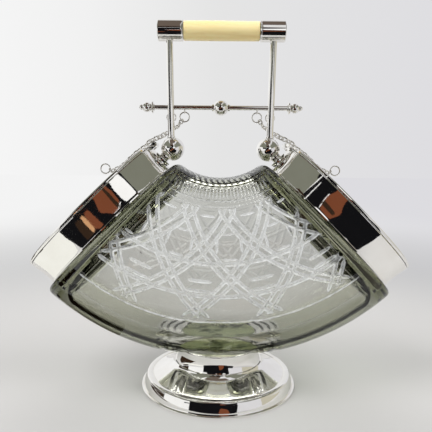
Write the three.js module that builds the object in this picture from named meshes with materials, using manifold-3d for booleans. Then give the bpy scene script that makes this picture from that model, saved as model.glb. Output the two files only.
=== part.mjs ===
// Biscuit barrel: a fan-shaped cut-glass body with a lidded mouth at each upper end, in millimetres, +Z up.
// The origin is the centre of the foot's underside. +X runs from mouth to mouth and +Y points to the back.
import * as THREE from "three";
import { mergeVertices } from "three/addons/utils/BufferGeometryUtils.js";
import Module from "manifold-3d";

const wasm = await Module();
wasm.setup();

// Clearances
const GAP = 0.3;
const RUNNING_GAP = 0.3;
const THROUGH = 1;
const FLATNESS = 0.02;

// Glass body: a section swept round the fan's centre, which lies above the body and has its bottom ground flat
const FLAT_HEIGHT = 33;
const GROUND_DEPTH = 7;
const SPINE_RADIUS = 125;
const SECTION_HALF_HEIGHT = 71;
const FAN_CENTRE_Z = FLAT_HEIGHT - GROUND_DEPTH + SPINE_RADIUS + SECTION_HALF_HEIGHT;
const SECTION_HALF_DEPTH = 44.5;
const SECTION_POWER = 3;
const MOUTH_TILT = Math.PI / 4;
const MOUTH_PLANE_OFFSET = 5.8;
const MOUTH_SHIFT = 1.4;
const SHOULDER_RADIUS = 4.5;
const INNER_WALL = 8;
const FACE_WALL = 8;
const FLOOR_WALL = 13;
const SHOULDER_WALL = 8;
const CAVITY_CORNER_RADIUS = 12;
const NECK_WALL = 5.5;
const NECK_LENGTH = 15;
const GLASS_SPANS = 12;
const CAVITY_SPANS = 10;
const ROUNDED_END_STEPS = 3;

// The cut pattern's main grooves on both faces of the glass: arcs, and two sets of leaning lines that cross them
const CUT_DEPTH = 1;
const CUT_HALF_WIDTH = 1.6;
const CUT_CLEARANCE = 1;
const CUT_STEP = 24;
const CUT_PAIR = 8;
const CUT_MARGIN = 5;
const SHORTEST_CUT = 55;
const ARC_RADII = [-9.3, 14.5, 35.4].map((offset) => SPINE_RADIUS + offset);
const LATTICE_TOP = SPINE_RADIUS - 49;
const LATTICE_BOTTOM = SPINE_RADIUS + 31;
const LATTICE_RADIUS = SPINE_RADIUS - 21.25;
const LATTICE_ANGLE = (13.7 * Math.PI) / 180;
const LATTICE_PITCH = Math.PI / 9;
const LATTICE_RISE = 23.5;
const LATTICE_LINES = 6;

// Foot
const FOOT_RIM_RADIUS = 62.5;
const FOOT_RIM_HEIGHT = 1.6;
const FOOT_BAND_INNER_RADIUS = 51.5;
const FOOT_BAND_TOP_Z = 9.2;
const FOOT_NECK_RADIUS = 31.5;
const FOOT_NECK_FLARE = 1.6;
const FOOT_NECK_Z = 19;
const FOOT_WALL = 1.6;
const FOOT_CUP_DEPTH = 3.5;
const FOOT_EDGE = 0.6;
const FOOT_SHELF = 2.2;
const FOOT_STEP = 1;
const FOOT_RIM_WIDTH = 5.5;
const FOOT_FLARE_HEIGHT = 3;
const FOOT_CURVE_STEPS = 2;
const FOOT_STEPS = 20;

// Oval collars and lids, measured in each mouth's own frame
const OVAL_POWER = 2.3;
const COLLAR_HALF_LENGTH = 65;
const COLLAR_HALF_WIDTH = 39.8;
const COLLAR_HEIGHT = 22;
const COLLAR_FLARE = 2;
const COLLAR_WALL = 1.5;
const COLLAR_BEAD = 0.7;
const COLLAR_BEAD_HEIGHT = 1;
const LIP_HEIGHT = 1.2;
const LIP_REACH = 5;
const LID_RIM_HEIGHT = 2.6;
const LID_DOME = 1.6;
const LID_WALL = 1.4;
const LID_FLANGE_DEPTH = 3.6;
const LID_FLANGE_WALL = 1.2;
const LID_FLANGE_GAP = 0.6;
const LID_EDGE = 0.6;
const LID_DOME_INSET = 1.6;
const BEDDING_END = 4.5;
const BEDDING_SIDE = 3;

// Hinges
const HINGE_PIN_RADIUS = 0.9;
const KNUCKLE_RADIUS = 2.2;
const LID_KNUCKLE_LENGTH = 8;
const COLLAR_KNUCKLE_LENGTH = 4.5;
const LEAF_THICKNESS = 1.5;
const LEAF_ROOT = 1.4;
const LEAF_CLEARANCE = 0.4;
const HINGE_OFFSET = 0.5;
const PIN_HEAD_RADIUS = 1.6;
const PIN_HEAD_LENGTH = 0.7;

// Posts and balls
const BALL_RADIUS = 9.3;
const BALL_SEAT_DEPTH = 0.6;
const POST_HEIGHT = 10.1;
const POST_STEM = 3;
const POST_NECK_RADIUS = 4;
const POST_BASE_RADIUS = 6.6;
const POST_BASE_HEIGHT = 1.6;
const POST_BASE_EDGE = 0.8;
const POST_NECK_HOLLOW = 0.3;
const SHANK_RADIUS = 1.8;
const NUT_RADIUS = 3.6;
const NUT_HEIGHT = 1.3;
const TENON_RADIUS = 1.9;
const TENON_LENGTH = 5;

// Handle
const ARM_RADIUS = 2.8;
const ARM_FOOT_SHIFT = 1.1;
const ARM_FOOT_SEAT = 0.9;
const ARM_HEAD_SHIFT = 0.9;
const ARM_HEAD_SEAT = 1.2;
const ARM_HEAD_TENON = 2.6;
const GRIP_RISE = 90.7;
const CAP_RADIUS = 8.1;
const CAP_LENGTH = 19.6;
const GRIP_RADIUS = 7.3;
const GRIP_LENGTH = 58.8;
const GRIP_SWELL = 0.15;
const GRIP_EDGE = 0.3;
const CAP_EDGE = 0.5;
const GRIP_ROD_RADIUS = 2;
const GRIP_ROD_REACH = 11;

// Crossbar
const CROSSBAR_RISE = 32.3;
const CROSSBAR_RADIUS = 1.85;
const CROSSBAR_HALF_LENGTH = 64.3;
const FINIAL_LENGTH = 12.6;
const CROSSBAR_TENON = 3.5;
const CROSSBAR_BALL_RADIUS = 6.1;
const CROSSBAR_BALL_COLLAR = 0.9;
const FINIAL_NECK_RADIUS = 2.8;
const FINIAL_DISC_RADIUS = 4.7;
const FINIAL_DISC_WIDTH = 1;
const FINIAL_DISC_START = 1.3;
const FINIAL_BEAD_RADIUS = 3.9;
const FINIAL_BEAD_CENTRE = 6.4;
const FINIAL_TIP_RADIUS = 2.1;
const FINIAL_WAIST_RADIUS = 1.3;

// Eyes, rings and chains
const EYE_LOOP_RADIUS = 1.35;
const EYE_WIRE_RADIUS = 0.4;
const EYE_SHANK_RADIUS = 0.6;
const EYE_SHANK_LENGTH = 1.3;
const BAR_EYE_X = 28.4;
const RING_RADIUS = 3.7;
const RING_WIRE_RADIUS = 0.55;
const LID_EYE_REACH = 30;
const LID_EYE_HEIGHT = 6.2;
const LID_EYE_LOOP_RADIUS = 2.2;
const LID_EYE_WASHER_RADIUS = 2.1;
const LID_EYE_WASHER_HEIGHT = 0.8;
const LID_RING_LEAN = 0.45;
const LID_RING_LIFT = 0.9;
const EYE_PLAY = 0.1;
const EYE_SEAT = 0.2;
const ARM_RING_RADIUS = 3.5;
const CHAIN_WIRE_RADIUS = 0.5;
const LINK_HALF_LENGTH = 1.85;
const LINK_HALF_WIDTH = 1.15;
const LINK_OVERLAP = 0.6;
const JUMP_RING_RADIUS = 2;

// Facets
const OVAL_STEPS = 28;
const COLLAR_STEPS = 3;
const LID_STEPS = 3;
const CAVITY_STEPS = 24;
const ROUND_STEPS = 28;
const POST_STEPS = 14;
const BALL_STEPS = 16;
const BALL_RINGS = 10;
const GRIP_STEPS = 20;
const FINIAL_STEPS = 10;
const SMALL_STEPS = 10;
const RING_STEPS = 14;
const EYE_STEPS = 8;
const WIRE_SIDES = 4;
const SHANK_STEPS = 6;
const CHAIN_WIRE_SIDES = 4;

// The left mouth's frame: its origin in the plane of the glass shoulder, its height along the mouth's axis
const MOUTH_REACH = SPINE_RADIUS + MOUTH_SHIFT;
const MOUTH_POSITION = new THREE.Vector3(
  MOUTH_PLANE_OFFSET * Math.cos(MOUTH_TILT) - MOUTH_REACH * Math.sin(MOUTH_TILT),
  0,
  FAN_CENTRE_Z - MOUTH_REACH * Math.cos(MOUTH_TILT) - MOUTH_PLANE_OFFSET * Math.sin(MOUTH_TILT),
);
const MOUTH_TURN = new THREE.Euler(0, -MOUTH_TILT, 0);
const MOUTH_MATRIX = new THREE.Matrix4().compose(
  MOUTH_POSITION,
  new THREE.Quaternion().setFromEuler(MOUTH_TURN),
  new THREE.Vector3(1, 1, 1),
);
const BALL_IN_MOUTH = new THREE.Vector3(COLLAR_HALF_LENGTH + POST_STEM + BALL_RADIUS, 0, POST_HEIGHT);
const BALL_POSITION = BALL_IN_MOUTH.clone().applyMatrix4(MOUTH_MATRIX);
const GRIP_Z = BALL_POSITION.z + GRIP_RISE;
const CROSSBAR_Z = BALL_POSITION.z + CROSSBAR_RISE;

// Sizes that follow from the driving ones
const NECK_HALF_LENGTH = COLLAR_HALF_LENGTH - COLLAR_WALL - BEDDING_END;
const NECK_HALF_WIDTH = COLLAR_HALF_WIDTH - COLLAR_WALL - BEDDING_SIDE;
const COLLAR_TOP_HALF_LENGTH = COLLAR_HALF_LENGTH + COLLAR_FLARE;
const COLLAR_TOP_HALF_WIDTH = COLLAR_HALF_WIDTH + COLLAR_FLARE;
const LID_BASE = COLLAR_HEIGHT + GAP;
const LID_RIM_TOP = LID_BASE + LID_RIM_HEIGHT;
const LID_TOP = LID_RIM_TOP + LID_DOME;
const LIP_BASE = NECK_LENGTH + GAP;
const HINGE_HEIGHT = COLLAR_HEIGHT + GAP / 2;
const HINGE_REACH = COLLAR_TOP_HALF_LENGTH + KNUCKLE_RADIUS + HINGE_OFFSET;
const EYE_DROP = EYE_LOOP_RADIUS - EYE_WIRE_RADIUS - RING_WIRE_RADIUS - EYE_PLAY;

const MATERIALS = {
  glass: new THREE.MeshStandardMaterial({
    color: 0xdfe8e2,
    roughness: 0.05,
    metalness: 0,
    transparent: true,
    opacity: 0.4,
  }),
  silver: new THREE.MeshStandardMaterial({ color: 0xe6e2da, roughness: 0.08, metalness: 1 }),
  steel: new THREE.MeshStandardMaterial({ color: 0x9a9a98, roughness: 0.4, metalness: 1 }),
  ivory: new THREE.MeshStandardMaterial({ color: 0xecd9a5, roughness: 0.45, metalness: 0 }),
  plaster: new THREE.MeshStandardMaterial({ color: 0xe9e6de, roughness: 0.95, metalness: 0 }),
};

// Solids and booleans
function positionsOnly(geometry) {
  const bare = geometry.clone();
  bare.deleteAttribute("normal");
  bare.deleteAttribute("uv");
  return mergeVertices(bare, 1e-4);
}

function toSolid(geometry) {
  const merged = positionsOnly(geometry);
  const mesh = new wasm.Mesh({
    numProp: 3,
    vertProperties: merged.attributes.position.array,
    triVerts: new Uint32Array(merged.index.array),
  });
  return new wasm.Manifold(mesh);
}

// A solid's mesh, with facets that lie in one plane merged.
function toGeometry(solid) {
  const mesh = solid.asOriginal().simplify(FLATNESS).getMesh();
  const geometry = new THREE.BufferGeometry();
  geometry.setAttribute("position", new THREE.BufferAttribute(mesh.vertProperties, 3));
  geometry.setIndex(new THREE.BufferAttribute(mesh.triVerts, 1));
  geometry.computeVertexNormals();
  return geometry;
}

function joined(...geometries) {
  const solid = geometries.map(toSolid).reduce((all, next) => all.add(next));
  return toGeometry(solid);
}

function cut(geometry, ...tools) {
  const solid = tools.map(toSolid).reduce((left, tool) => left.subtract(tool), toSolid(geometry));
  return toGeometry(solid);
}

// Turns a closed mesh outward, whichever way its rings were listed.
function faceOut(positions, faces) {
  let volume = 0;
  const [a, b, c] = [new THREE.Vector3(), new THREE.Vector3(), new THREE.Vector3()];
  for (let i = 0; i < faces.length; i += 3) {
    a.fromArray(positions, 3 * faces[i]);
    b.fromArray(positions, 3 * faces[i + 1]);
    c.fromArray(positions, 3 * faces[i + 2]);
    volume += a.dot(b.cross(c));
  }
  if (volume > 0) return faces;
  const turned = [];
  for (let i = 0; i < faces.length; i += 3) turned.push(faces[i], faces[i + 2], faces[i + 1]);
  return turned;
}

// Skins rings of points. A loop joins the last ring to the first, and otherwise both end rings are capped.
function loft(rings, isLoop = false) {
  const count = rings[0].length;
  const positions = rings.flat().flatMap((point) => point.toArray());
  const faces = [];
  const spans = isLoop ? rings.length : rings.length - 1;
  for (let i = 0; i < spans; i++) {
    const near = i * count;
    const far = ((i + 1) % rings.length) * count;
    for (let j = 0; j < count; j++) {
      const k = (j + 1) % count;
      faces.push(near + j, near + k, far + k, near + j, far + k, far + j);
    }
  }
  if (!isLoop) {
    const last = (rings.length - 1) * count;
    for (let j = 1; j < count - 1; j++) {
      faces.push(0, j + 1, j);
      faces.push(last, last + j, last + j + 1);
    }
  }
  const geometry = new THREE.BufferGeometry();
  geometry.setAttribute("position", new THREE.Float32BufferAttribute(positions, 3));
  geometry.setIndex(faceOut(positions, faces));
  return geometry;
}

function power(value, exponent) {
  return Math.sign(value) * Math.abs(value) ** exponent;
}

// One ring of an oval about the mouth's axis.
function ovalRing(halfLength, halfWidth, height, steps = OVAL_STEPS) {
  const ring = [];
  for (let i = 0; i < steps; i++) {
    const angle = (2 * Math.PI * i) / steps;
    const x = halfLength * power(Math.cos(angle), 2 / OVAL_POWER);
    const y = halfWidth * power(Math.sin(angle), 2 / OVAL_POWER);
    ring.push(new THREE.Vector3(x, y, height));
  }
  return ring;
}

// A profile of [offset, height] pairs carried round an oval.
function ovalProfile(halfLength, halfWidth, profile) {
  return profile.map(([offset, height]) => ovalRing(halfLength + offset, halfWidth + offset, height));
}

// A solid of revolution about +Z from [radius, height] pairs.
function turned(profile, steps = ROUND_STEPS) {
  const points = profile.map(([radius, height]) => new THREE.Vector2(radius, height));
  const lathe = new THREE.LatheGeometry(points, steps);
  lathe.rotateX(Math.PI / 2);
  const merged = positionsOnly(lathe);
  merged.setIndex(faceOut(merged.attributes.position.array, Array.from(merged.index.array)));
  return merged;
}

function rod(radius, bottom, top, steps = SMALL_STEPS) {
  const geometry = new THREE.CylinderGeometry(radius, radius, top - bottom, steps);
  geometry.rotateX(Math.PI / 2);
  geometry.translate(0, 0, (top + bottom) / 2);
  return geometry;
}

// A ring of wire in the XZ plane.
function wireRing(radius, wire, steps = RING_STEPS) {
  const geometry = new THREE.TorusGeometry(radius, wire, WIRE_SIDES, steps);
  geometry.rotateX(Math.PI / 2);
  return geometry;
}

// An arc of [x, y] points about a centre.
function arc(centreX, centreY, radius, from, to, steps) {
  const points = [];
  for (let i = 0; i <= steps; i++) {
    const angle = from + ((to - from) * i) / steps;
    points.push([centreX + radius * Math.cos(angle), centreY + radius * Math.sin(angle)]);
  }
  return points;
}

function smooth(fraction) {
  return fraction * fraction * (3 - 2 * fraction);
}

// The fan's angle at a radius, in a plane parallel to a mouth and at a depth below it.
function angleAt(radius, depth) {
  return MOUTH_TILT - Math.asin((MOUTH_PLANE_OFFSET + depth) / radius);
}

// How far a rounded end has drawn in at a depth below the mouth's plane.
function roundedInset(depth, radius) {
  const rest = Math.max(0, radius - depth);
  return radius - Math.sqrt(radius * radius - rest * rest);
}

// Glass body
function fanRing({ centre, halfHeight, halfDepth }, inset, angleOf, steps) {
  const ring = [];
  for (let i = 0; i < steps; i++) {
    const turn = (2 * Math.PI * i) / steps;
    const radius = centre + (halfHeight - inset) * power(Math.cos(turn), 2 / SECTION_POWER);
    const depth = (halfDepth - inset) * power(Math.sin(turn), 2 / SECTION_POWER);
    const angle = angleOf(radius);
    ring.push(
      new THREE.Vector3(radius * Math.sin(angle), depth, FAN_CENTRE_Z - radius * Math.cos(angle)),
    );
  }
  return ring;
}

// A swept section whose two ends lie at a depth below the mouths' planes and have rounded edges.
function fanSolid(section, endDepth, endRadius, spans, steps) {
  const rings = [];
  const endRings = (side) => {
    const list = [];
    for (let i = 0; i < ROUNDED_END_STEPS; i++) {
      const depth = endRadius * (1 - Math.cos((Math.PI / 2) * (i / ROUNDED_END_STEPS)));
      const inset = roundedInset(depth, endRadius);
      list.push(fanRing(section, inset, (radius) => side * angleAt(radius, endDepth + depth), steps));
    }
    return list;
  };
  rings.push(...endRings(-1));
  for (let i = 0; i <= spans; i++) {
    const share = (2 * i) / spans - 1;
    rings.push(fanRing(section, 0, (radius) => share * angleAt(radius, endDepth + endRadius), steps));
  }
  rings.push(...endRings(1).reverse());
  return loft(rings);
}

function ovalPrism(halfLength, halfWidth, bottom, top) {
  return loft([ovalRing(halfLength, halfWidth, bottom), ovalRing(halfLength, halfWidth, top)]);
}

// Puts a shape of the left mouth's frame in the left or the right mouth.
function atMouth(geometry, side) {
  const placed = positionsOnly(geometry).applyMatrix4(MOUTH_MATRIX);
  if (side < 0) return placed;
  placed.scale(-1, 1, 1);
  placed.setIndex(faceOut(placed.attributes.position.array, Array.from(placed.index.array)));
  return placed;
}

// A point of the front or back face, moved along the face's own normal. Front has side -1.
function facePoint(radius, angle, side, lift) {
  const rise = (radius - SPINE_RADIUS) / SECTION_HALF_HEIGHT;
  const bulge = (1 - Math.abs(rise) ** SECTION_POWER) ** (1 / SECTION_POWER);
  const normal = new THREE.Vector2(
    power(rise, SECTION_POWER - 1) / SECTION_HALF_HEIGHT,
    bulge ** (SECTION_POWER - 1) / SECTION_HALF_DEPTH,
  ).setLength(lift);
  const reach = radius + normal.x;
  const depth = side * (SECTION_HALF_DEPTH * bulge + normal.y);
  return new THREE.Vector3(reach * Math.sin(angle), depth, FAN_CENTRE_Z - reach * Math.cos(angle));
}

// The V groove that follows a list of [radius, angle] points on a face.
function faceCut(path, side) {
  const spread = (CUT_HALF_WIDTH * (CUT_DEPTH + CUT_CLEARANCE)) / CUT_DEPTH;
  const tops = path.map(([radius, angle]) => facePoint(radius, angle, side, CUT_CLEARANCE));
  const rings = path.map(([radius, angle], i) => {
    const bottom = facePoint(radius, angle, side, -CUT_DEPTH);
    const along = tops[Math.min(i + 1, tops.length - 1)].clone().sub(tops[Math.max(i - 1, 0)]);
    const beside = tops[i].clone().sub(bottom).cross(along).setLength(spread);
    return [bottom, tops[i].clone().add(beside), tops[i].clone().sub(beside)];
  });
  return loft(rings);
}

// Evenly spaced points along a cut, which stops at a margin from the glass body's ends. A short cut is left out.
function cutPath(from, to) {
  const samples = [];
  const count = 80;
  for (let i = 0; i <= count; i++) {
    const share = i / count;
    const radius = from[0] + (to[0] - from[0]) * share;
    const angle = from[1] + (to[1] - from[1]) * share;
    if (Math.abs(angle) < angleAt(radius, SHOULDER_RADIUS + CUT_MARGIN)) samples.push([radius, angle]);
  }
  const first = samples[0];
  const last = samples.at(-1);
  if (!first) return [];
  const turn = (last[1] - first[1]) * ((first[0] + last[0]) / 2);
  const length = Math.hypot(last[0] - first[0], turn);
  if (length < SHORTEST_CUT) return [];
  const steps = Math.round(length / CUT_STEP);
  const path = [];
  for (let i = 0; i <= steps; i++) {
    const share = i / steps;
    path.push([first[0] + (last[0] - first[0]) * share, first[1] + (last[1] - first[1]) * share]);
  }
  return path;
}

function facePattern() {
  const paths = ARC_RADII.map((radius) => cutPath([radius, -MOUTH_TILT], [radius, MOUTH_TILT]));
  for (const lean of [-1, 1]) {
    const slope = (lean * LATTICE_PITCH) / 2 / LATTICE_RISE;
    for (let line = -LATTICE_LINES; line <= LATTICE_LINES; line++) {
      const middle = LATTICE_ANGLE + LATTICE_PITCH * line;
      for (const shift of [-CUT_PAIR / 2, CUT_PAIR / 2]) {
        const end = (radius) => [radius, middle + slope * (radius - LATTICE_RADIUS) + shift / radius];
        paths.push(cutPath(end(LATTICE_TOP), end(LATTICE_BOTTOM)));
      }
    }
  }
  const kept = paths.filter((path) => path.length > 1);
  return [-1, 1].flatMap((side) => kept.map((path) => faceCut(path, side)));
}

function makeGlassBody() {
  const outside = {
    centre: SPINE_RADIUS,
    halfHeight: SECTION_HALF_HEIGHT,
    halfDepth: SECTION_HALF_DEPTH,
  };
  const innerRadius = SPINE_RADIUS - SECTION_HALF_HEIGHT + INNER_WALL;
  const outerRadius = SPINE_RADIUS + SECTION_HALF_HEIGHT - FLOOR_WALL;
  const inside = {
    centre: (innerRadius + outerRadius) / 2,
    halfHeight: (outerRadius - innerRadius) / 2,
    halfDepth: SECTION_HALF_DEPTH - FACE_WALL,
  };
  const neckRoot = -SHOULDER_WALL / 2;
  const boreRoot = -SHOULDER_WALL - CAVITY_CORNER_RADIUS;
  const neck = ovalPrism(NECK_HALF_LENGTH, NECK_HALF_WIDTH, neckRoot, NECK_LENGTH);
  const bore = ovalPrism(
    NECK_HALF_LENGTH - NECK_WALL,
    NECK_HALF_WIDTH - NECK_WALL,
    boreRoot,
    NECK_LENGTH + THROUGH,
  );
  const body = joined(
    fanSolid(outside, 0, SHOULDER_RADIUS, GLASS_SPANS, OVAL_STEPS),
    atMouth(neck, -1),
    atMouth(neck, 1),
  );
  const below = new THREE.BoxGeometry(4 * SPINE_RADIUS, 4 * SPINE_RADIUS, FLAT_HEIGHT);
  below.translate(0, 0, FLAT_HEIGHT / 2);
  return cut(
    body,
    fanSolid(inside, SHOULDER_WALL, CAVITY_CORNER_RADIUS, CAVITY_SPANS, CAVITY_STEPS),
    atMouth(bore, -1),
    atMouth(bore, 1),
    below,
    ...facePattern(),
  );
}

// Foot
function footOutline() {
  const shelfZ = FOOT_RIM_HEIGHT + FOOT_EDGE;
  const bandHeight = FOOT_BAND_TOP_Z - shelfZ;
  const bandWidth = FOOT_RIM_RADIUS - FOOT_SHELF - FOOT_BAND_INNER_RADIUS;
  const outline = [
    [FOOT_RIM_RADIUS, 0],
    [FOOT_RIM_RADIUS, FOOT_RIM_HEIGHT],
    [FOOT_RIM_RADIUS - FOOT_EDGE, shelfZ],
    [FOOT_RIM_RADIUS - FOOT_SHELF, shelfZ],
  ];
  for (let i = 1; i <= FOOT_CURVE_STEPS; i++) {
    const angle = ((Math.PI / 2) * i) / FOOT_CURVE_STEPS;
    outline.push([
      FOOT_BAND_INNER_RADIUS + bandWidth * Math.cos(angle),
      shelfZ + bandHeight * Math.sin(angle),
    ]);
  }
  const domeStart = FOOT_BAND_TOP_Z - FOOT_EDGE;
  const domeWidth = FOOT_BAND_INNER_RADIUS - FOOT_STEP - FOOT_NECK_RADIUS;
  const domeHeight = FOOT_NECK_Z - domeStart;
  for (let i = 0; i <= FOOT_CURVE_STEPS; i++) {
    const angle = ((Math.PI / 2) * i) / FOOT_CURVE_STEPS;
    outline.push([
      FOOT_NECK_RADIUS + domeWidth * (1 - Math.sin(angle)),
      domeStart + domeHeight * (1 - Math.cos(angle)),
    ]);
  }
  outline.push(
    [FOOT_NECK_RADIUS + FOOT_STEP, FOOT_NECK_Z + FOOT_EDGE],
    [FOOT_NECK_RADIUS, FOOT_NECK_Z + FOOT_EDGE + FOOT_STEP],
    [FOOT_NECK_RADIUS, FLAT_HEIGHT - FOOT_STEP - FOOT_FLARE_HEIGHT],
    [FOOT_NECK_RADIUS + FOOT_NECK_FLARE, FLAT_HEIGHT - FOOT_STEP],
    [FOOT_NECK_RADIUS + FOOT_NECK_FLARE, FLAT_HEIGHT - GAP],
  );
  return outline;
}

// The foot is a spun shell, open below, with a shallow cup on top for the plaster.
function makeFoot() {
  const cupFloor = FLAT_HEIGHT - FOOT_CUP_DEPTH;
  const cupRadius = FOOT_NECK_RADIUS + FOOT_NECK_FLARE - FOOT_WALL;
  const hollowRadius = FOOT_NECK_RADIUS - FOOT_WALL;
  const bandCeiling = FOOT_BAND_TOP_Z - FOOT_EDGE - FOOT_WALL;
  const inner = [
    [0, cupFloor - FOOT_WALL],
    [hollowRadius, cupFloor - FOOT_WALL],
    [hollowRadius, FOOT_NECK_Z - FOOT_STEP],
    [(2 * hollowRadius + FOOT_BAND_INNER_RADIUS) / 3, (FOOT_NECK_Z + 2 * bandCeiling) / 3],
    [FOOT_BAND_INNER_RADIUS - FOOT_WALL, bandCeiling],
    [(FOOT_BAND_INNER_RADIUS + FOOT_RIM_RADIUS - FOOT_RIM_WIDTH) / 2, bandCeiling],
    [FOOT_RIM_RADIUS - FOOT_RIM_WIDTH, 0],
  ];
  const cup = [
    [cupRadius, FLAT_HEIGHT - GAP],
    [cupRadius, cupFloor],
    [0, cupFloor],
  ];
  return turned([...inner, ...footOutline(), ...cup, inner[0]], FOOT_STEPS);
}

function makeFootBedding() {
  const radius = FOOT_NECK_RADIUS + FOOT_NECK_FLARE - FOOT_WALL - GAP;
  return rod(radius, FLAT_HEIGHT - FOOT_CUP_DEPTH + GAP, FLAT_HEIGHT, FOOT_STEPS);
}

// Collar, bedding and lid
function collarFlare(height) {
  return COLLAR_FLARE * smooth(Math.min(1, height / COLLAR_HEIGHT));
}

function collarWallPoints() {
  const start = GAP + COLLAR_BEAD_HEIGHT + COLLAR_BEAD;
  const points = [];
  for (let i = 0; i <= COLLAR_STEPS; i++) {
    const height = start + ((COLLAR_HEIGHT - start) * i) / COLLAR_STEPS;
    points.push([collarFlare(height), height]);
  }
  return points;
}

function makeCollarShell() {
  const base = GAP;
  const outer = [[COLLAR_BEAD, base], [COLLAR_BEAD, base + COLLAR_BEAD_HEIGHT], ...collarWallPoints()];
  const lipTop = LIP_BASE + LIP_HEIGHT;
  const inner = [
    [collarFlare(COLLAR_HEIGHT) - COLLAR_WALL, COLLAR_HEIGHT],
    [collarFlare(lipTop) - COLLAR_WALL, lipTop],
    [-COLLAR_WALL - LIP_REACH, lipTop],
    [-COLLAR_WALL - LIP_REACH, LIP_BASE],
    [collarFlare(LIP_BASE) - COLLAR_WALL, LIP_BASE],
    [-COLLAR_WALL, base],
  ];
  return loft(ovalProfile(COLLAR_HALF_LENGTH, COLLAR_HALF_WIDTH, [...outer, ...inner]), true);
}

// A barrel along Y at the hinge's axis.
function hingeBarrel(radius, from, to) {
  const geometry = new THREE.CylinderGeometry(radius, radius, to - from, SMALL_STEPS);
  geometry.translate(HINGE_REACH, (from + to) / 2, HINGE_HEIGHT);
  return geometry;
}

function leaf(from, to, inner, bottom, top) {
  const geometry = new THREE.BoxGeometry(HINGE_REACH - inner, to - from, top - bottom);
  geometry.translate((HINGE_REACH + inner) / 2, (from + to) / 2, (top + bottom) / 2);
  return geometry;
}

const LID_KNUCKLE_EDGE = LID_KNUCKLE_LENGTH / 2;
const COLLAR_KNUCKLE_START = LID_KNUCKLE_EDGE + RUNNING_GAP;
const COLLAR_KNUCKLE_END = COLLAR_KNUCKLE_START + COLLAR_KNUCKLE_LENGTH;

function makeCollar() {
  const leafTop = COLLAR_HEIGHT - LEAF_CLEARANCE;
  const leafRoot = COLLAR_TOP_HALF_LENGTH - LEAF_ROOT;
  const parts = [makeCollarShell()];
  const bores = [];
  for (const side of [-1, 1]) {
    const [from, to] = [COLLAR_KNUCKLE_START * side, COLLAR_KNUCKLE_END * side].sort((a, b) => a - b);
    parts.push(hingeBarrel(KNUCKLE_RADIUS, from, to));
    parts.push(leaf(from, to, leafRoot, leafTop - LEAF_THICKNESS, leafTop));
    bores.push(hingeBarrel(HINGE_PIN_RADIUS + GAP, from - THROUGH, to + THROUGH));
  }
  const holeStart = COLLAR_HALF_LENGTH - COLLAR_WALL - THROUGH;
  const holeEnd = COLLAR_TOP_HALF_LENGTH + THROUGH;
  const shankHole = alongMouthX(rod(SHANK_RADIUS + GAP, holeStart, holeEnd));
  return cut(joined(...parts), ...bores, shankHole);
}

// Lays a shape whose axis is +Z along the mouth frame's +X, at the height of the post.
function alongMouthX(geometry) {
  const laid = geometry.clone();
  laid.rotateY(Math.PI / 2);
  laid.translate(0, 0, BALL_IN_MOUTH.z);
  return laid;
}

function makeCollarBedding() {
  const top = LIP_BASE - GAP;
  const bottom = 2 * GAP;
  const outside = -COLLAR_WALL - GAP;
  const rings = [
    ovalRing(COLLAR_HALF_LENGTH + outside, COLLAR_HALF_WIDTH + outside, bottom),
    ovalRing(COLLAR_HALF_LENGTH + outside, COLLAR_HALF_WIDTH + outside, top),
    ovalRing(NECK_HALF_LENGTH + GAP, NECK_HALF_WIDTH + GAP, top),
    ovalRing(NECK_HALF_LENGTH + GAP, NECK_HALF_WIDTH + GAP, bottom),
  ];
  const pocketSize = 2 * (NUT_RADIUS + GAP);
  const nutPocket = new THREE.BoxGeometry(4 * (BEDDING_END + THROUGH), pocketSize, pocketSize);
  nutPocket.translate(COLLAR_HALF_LENGTH, 0, BALL_IN_MOUTH.z);
  return cut(loft(rings, true), nutPocket);
}

// The height of the lid's dome at a share of the way from its middle to its edge.
function domeHeight(share) {
  return LID_DOME * (1 - share * share);
}

function makeLid() {
  const [length, width] = [COLLAR_TOP_HALF_LENGTH, COLLAR_TOP_HALF_WIDTH];
  const rings = [];
  for (let i = 1; i <= LID_STEPS; i++) {
    const share = i / LID_STEPS;
    const height = LID_RIM_TOP + domeHeight(share);
    rings.push(ovalRing((length - LID_DOME_INSET) * share, (width - LID_DOME_INSET) * share, height));
  }
  const flange = -COLLAR_WALL - LID_FLANGE_GAP;
  const underside = LID_RIM_TOP - LID_WALL;
  const rim = [
    [-LID_EDGE, LID_RIM_TOP],
    [0, LID_RIM_TOP - LID_EDGE],
    [0, LID_BASE + LID_EDGE],
    [-LID_EDGE, LID_BASE],
    [flange, LID_BASE],
    [flange, LID_BASE - LID_FLANGE_DEPTH],
    [flange - LID_FLANGE_WALL, LID_BASE - LID_FLANGE_DEPTH],
    [flange - LID_FLANGE_WALL, underside],
  ];
  rings.push(...ovalProfile(length, width, rim));
  const inset = flange - LID_FLANGE_WALL;
  rings.push(ovalRing((length + inset) / 2, (width + inset) / 2, underside + domeHeight(1 / 2)));
  const knuckle = hingeBarrel(KNUCKLE_RADIUS, -LID_KNUCKLE_EDGE, LID_KNUCKLE_EDGE);
  const leafBottom = LID_BASE + GAP;
  const lidLeaf = leaf(
    -LID_KNUCKLE_EDGE,
    LID_KNUCKLE_EDGE,
    COLLAR_TOP_HALF_LENGTH - LEAF_ROOT,
    leafBottom,
    leafBottom + LEAF_THICKNESS,
  );
  const bore = hingeBarrel(HINGE_PIN_RADIUS + RUNNING_GAP, -LID_KNUCKLE_LENGTH, LID_KNUCKLE_LENGTH);
  const eyeHole = rod(EYE_SHANK_RADIUS + GAP, underside - THROUGH, LID_TOP + THROUGH, SHANK_STEPS);
  eyeHole.translate(LID_EYE_REACH, 0, 0);
  return cut(joined(loft(rings), knuckle, lidLeaf), bore, eyeHole);
}

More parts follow.
